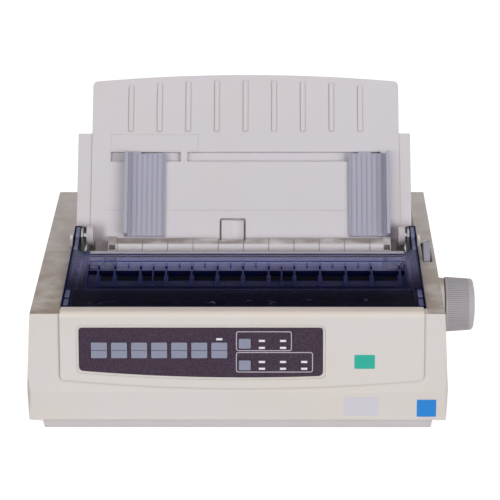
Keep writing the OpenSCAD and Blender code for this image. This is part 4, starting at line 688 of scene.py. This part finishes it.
# %% [markdown]
# ## Ribbon and circuit boards
# The ribbon is inked nylon cloth: a fine plain weave, drawn at 1 mm, as two crossed waves in the
# bump. The boards are glass-fibre laminate under green resist, through which the copper tracks
# show as a lighter green. The joints of a brick pattern, 12 mm apart, stand for the tracks.

# %% Inked cloth
THREAD, THREAD_DEPTH = 1.0 * MM, 0.1 * MM

cloth, tree, shader, coords = new_material("inked_nylon_ribbon")
warp, weft = (add(tree, "ShaderNodeTexWave", {"Vector": coords, "Scale": 0.5 / THREAD / math.pi},
                  bands_direction=direction).outputs["Fac"] for direction in ("X", "Z"))
weave = add(tree, "ShaderNodeMath", {0: warp, 1: weft}, operation="MULTIPLY").outputs[0]
mix = add(tree, "ShaderNodeMix", {0: weave, 6: linear("#0d0d11"), 7: linear("#1d1d24")},
          data_type="RGBA")
bump = add(tree, "ShaderNodeBump", {"Height": weave, "Distance": THREAD_DEPTH, "Strength": 0.5})
tree.links.new(mix.outputs[2], shader.inputs["Base Color"])
tree.links.new(bump.outputs["Normal"], shader.inputs["Normal"])
shader.inputs["Roughness"].default_value = 0.85
shader.inputs["Specular IOR Level"].default_value = 0.2
dress(cloth, "ribbon")

# %% Solder resist over copper
TRACK_MM, TRACK_WIDTH = 12, 0.06

board, tree, shader, coords = new_material("solder_resist_green")
tracks = add(tree, "ShaderNodeTexBrick",
             {"Vector": coords, "Scale": 1 / (TRACK_MM * MM), "Mortar Size": TRACK_WIDTH,
              "Color1": linear("#24422a"), "Color2": linear("#2a4b30"),
              "Mortar": linear("#416649")})
tree.links.new(tracks.outputs["Color"], shader.inputs["Base Color"])
skin(tree, shader, coords, 0.3, grain_mm=1.5, depth_mm=0.01, edge_mm=0.3)
dress(board, "main_board", "panel_board")

# %% [markdown]
# ## Thin printed and glued pieces
# What is left are things of a few hundredths to tenths of a millimetre: the two fine outlines
# printed on the panel film and the bare labels. Each starts as a flat plane laid on its surface.
# Its corners are rounded by bevelling the four points, and Solidify gives it a real thickness. An
# outline is the same with one more step: the plane is inset by the width of the line and its
# middle is deleted.

# %% A flat piece
CORNER_STEPS = 5


def flat_piece(name, centre, width, height, tilt, corner, thickness, line=0.0, body="frame"):
    bpy.ops.object.select_all(action="DESELECT")
    bpy.ops.mesh.primitive_plane_add(size=1, location=centre, rotation=(tilt, 0, 0))
    piece = bpy.context.object
    piece.name = name
    piece.scale = (width, height, 1)
    bpy.ops.object.transform_apply(location=False, rotation=False, scale=True)
    bpy.ops.object.mode_set(mode="EDIT")
    bpy.ops.mesh.select_all(action="SELECT")
    bpy.ops.mesh.bevel(offset=corner, segments=CORNER_STEPS, affect="VERTICES")
    if line:
        bpy.ops.mesh.select_all(action="SELECT")
        bpy.ops.mesh.inset(thickness=line)
        bpy.ops.mesh.delete(type="FACE")
    bpy.ops.object.mode_set(mode="OBJECT")
    depth = piece.modifiers.new("thickness", "SOLIDIFY")
    depth.thickness = thickness
    depth.offset = 1
    bpy.ops.object.modifier_apply(modifier="thickness")
    bpy.ops.object.transform_apply(location=True, rotation=True, scale=True)
    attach(piece, body)
    print(f"{name}: {width / MM:.1f} x {height / MM:.1f} mm, {len(piece.data.polygons)} faces")
    return piece


# %% [markdown]
# The front face leans back by 7.1 degrees, so one function turns a place on it, counted down from
# the top edge, into a point in space. The outlines are a lilac ink, worn in small spots.

# %% Two printed outlines on the film
FACE_LEAN = math.radians(7.0848)
FACE_UPRIGHT = math.pi / 2 - FACE_LEAN
FACE_TOP_Y, FACE_TOP_Z = -163.8 * MM, 105 * MM
PAD_OUT = 2.0 * MM
INK_LINE, INK_CORNER, INK_THICKNESS, INK_SPOT_MM = 0.75 * MM, 2.2 * MM, 0.04 * MM, 3
OUTLINES = (("film_outline_upper", -1.1, 47.4, 15.1, 32.7),
            ("film_outline_lower", -1.2, 65.8, 33.6, 51.8))


def face_spot(x_mm, down_mm):
    down = down_mm * MM
    return Vector((MID + x_mm * MM,
                   FACE_TOP_Y - down * math.sin(FACE_LEAN) - PAD_OUT * math.cos(FACE_LEAN),
                   FACE_TOP_Z - down * math.cos(FACE_LEAN) + PAD_OUT * math.sin(FACE_LEAN)))


ink, tree, shader, coords = new_material("screen_ink_lilac")
tree.links.new(mottled(tree, coords, "#cdc7d1", "#b6afbc", INK_SPOT_MM, 3.0),
               shader.inputs["Base Color"])
shader.inputs["Roughness"].default_value = 0.5
for name, x0, x1, top, bottom in OUTLINES:
    outline = flat_piece(name, face_spot((x0 + x1) / 2, (top + bottom) / 2), (x1 - x0) * MM,
                         (bottom - top) * MM, FACE_UPRIGHT, INK_CORNER, INK_THICKNESS,
                         line=INK_LINE)
    outline.data.materials.append(ink)

# %% [markdown]
# The labels are coated paper and printed foil, left bare. They sit on the case with their own
# thickness, and a faint mottling keeps them from looking like flat paint. Two of them are on the
# skirt below the crease, which leans the other way, so it has a function of its own.

# %% Places on the skirt, and label paper
CREASE_Y, CREASE_Z = -172.5 * MM, 35 * MM
SKIRT_SLIP_MM, SKIRT_HEIGHT_MM = 1.5, 26.2
SKIRT_LEAN = math.atan(SKIRT_SLIP_MM / SKIRT_HEIGHT_MM)
SKIRT_UPRIGHT = math.pi / 2 + SKIRT_LEAN
LABEL_THICKNESS, LABEL_SPOT_MM = 0.1 * MM, 2


def skirt_spot(x_mm, z_mm):
    z = z_mm * MM
    return Vector((MID + x_mm * MM, CREASE_Y + (CREASE_Z - z) * math.tan(SKIRT_LEAN), z))


def label_stock(name, colour, second, rough):
    material, tree, shader, coords = new_material(name)
    tree.links.new(mottled(tree, coords, colour, second, LABEL_SPOT_MM, 4.0),
                   shader.inputs["Base Color"])
    shader.inputs["Roughness"].default_value = rough
    return material


print(f"the skirt leans in by {math.degrees(SKIRT_LEAN):.1f} degrees")

# %% Bare labels
LABELS = (
    ("lavender_label", skirt_spot(108, 21.9), 30, 17.6, SKIRT_UPRIGHT, 1.5,
     label_stock("coated_paper_lavender", "#dad7df", "#d2cfd9", 0.6)),
    ("blue_label", skirt_spot(165.3, 20.2), 16.9, 16.4, SKIRT_UPRIGHT, 0.6,
     label_stock("coated_paper_blue", "#1c8ade", "#1780d4", 0.5)),
    ("green_label", face_spot(110.8, 42.3), 17.8, 12.4, FACE_UPRIGHT, 1,
     label_stock("coated_paper_green", "#19b3a0", "#16aa96", 0.5)),
)
for name, centre, width_mm, height_mm, tilt, corner_mm, stock in LABELS:
    piece = flat_piece(name, centre, width_mm * MM, height_mm * MM, tilt, corner_mm * MM,
                       LABEL_THICKNESS)
    piece.data.materials.append(stock)

# %% [markdown]
# ## The foot of the separator
# On both sides of the guide bar the separator's plate runs on down to the cover, between the
# bar's end and the ear that it swings on. The two aprons there lie in the bar's shade, which is
# painted into them as a darker grey. They are flat pieces too, 2 mm thick, laid on the slope of
# the plate.

# %% Two aprons beside the guide bar
PLATE_LEAN = math.radians(34)
FOOT_BACK = Vector((0, 19.2, 106.7)) * MM
EAR_LEFT, EAR_RIGHT, BAR_ROOM = -151.0 * MM, 131.3 * MM, 0.2 * MM
APRON_HEIGHT, APRON_CORNER, APRON_THICKNESS = 11.5 * MM, 0.5 * MM, 2 * MM

# A darker copy of the separator's plastic: the bar's shade painted into the aprons.
shaded_abs = moulded_plastic("moulded_abs_shaded", "#b4a9ad", "#aca39c", "#948b86", "#7d7477")
bar_low, bar_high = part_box("paper_guide_bar")
for name, x0, x1 in (("left_foot_apron", EAR_LEFT, bar_low[0] - BAR_ROOM),
                     ("right_foot_apron", bar_high[0] + BAR_ROOM, EAR_RIGHT)):
    apron = flat_piece(name, Vector(((x0 + x1) / 2, 0, 0)) + FOOT_BACK, x1 - x0, APRON_HEIGHT,
                       math.pi / 2 - PLATE_LEAN, APRON_CORNER, APRON_THICKNESS, body="separator")
    apron.data.materials.append(shaded_abs)

# %% [markdown]
# ## The ends of the guide bar
# Each end of the guide bar is a block 7 mm wide, moulded hollow and open to the front, because a
# thick lump of plastic would sink as it cools. The pockets are cut by a Boolean modifier out of a
# copy of the bar, whose points are merged first, since the construction's mesh is loose triangles.

# %% A copy of the bar
WELD = 0.002 * MM

pocketed = bpy.data.objects.new("pocketed_guide_bar", nodes["paper_guide_bar"].data.copy())
bpy.context.collection.objects.link(pocketed)
bpy.ops.object.select_all(action="DESELECT")
pocketed.select_set(True)
bpy.context.view_layer.objects.active = pocketed
bpy.ops.object.mode_set(mode="EDIT")
bpy.ops.mesh.select_all(action="SELECT")
bpy.ops.mesh.remove_doubles(threshold=WELD)
bpy.ops.object.mode_set(mode="OBJECT")
print(f"copy with {len(pocketed.data.vertices)} points")

# %% Cut the two pockets
BLOCK, POCKET_WALL = 7 * MM, 0.6 * MM
POCKET_LOW, POCKET_HIGH, POCKET_BACK, POCKET_FRONT = 108.7 * MM, 113.4 * MM, 8 * MM, -6 * MM

for middle in (bar_low[0] + BLOCK / 2, bar_high[0] - BLOCK / 2):
    bpy.ops.mesh.primitive_cube_add(size=1, location=(middle, (POCKET_BACK + POCKET_FRONT) / 2,
                                                      (POCKET_LOW + POCKET_HIGH) / 2))
    cutter = bpy.context.object
    cutter.scale = (BLOCK - 2 * POCKET_WALL, POCKET_BACK - POCKET_FRONT,
                    POCKET_HIGH - POCKET_LOW)
    bpy.ops.object.transform_apply(location=False, rotation=False, scale=True)
    pocket = pocketed.modifiers.new("pocket", "BOOLEAN")
    pocket.object = cutter
    bpy.context.view_layer.objects.active = pocketed
    bpy.ops.object.modifier_apply(modifier="pocket")
    bpy.data.objects.remove(cutter)
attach(pocketed, "separator")
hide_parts("paper_guide_bar")
print(f"guide bar with two pockets: {len(pocketed.data.polygons)} faces")
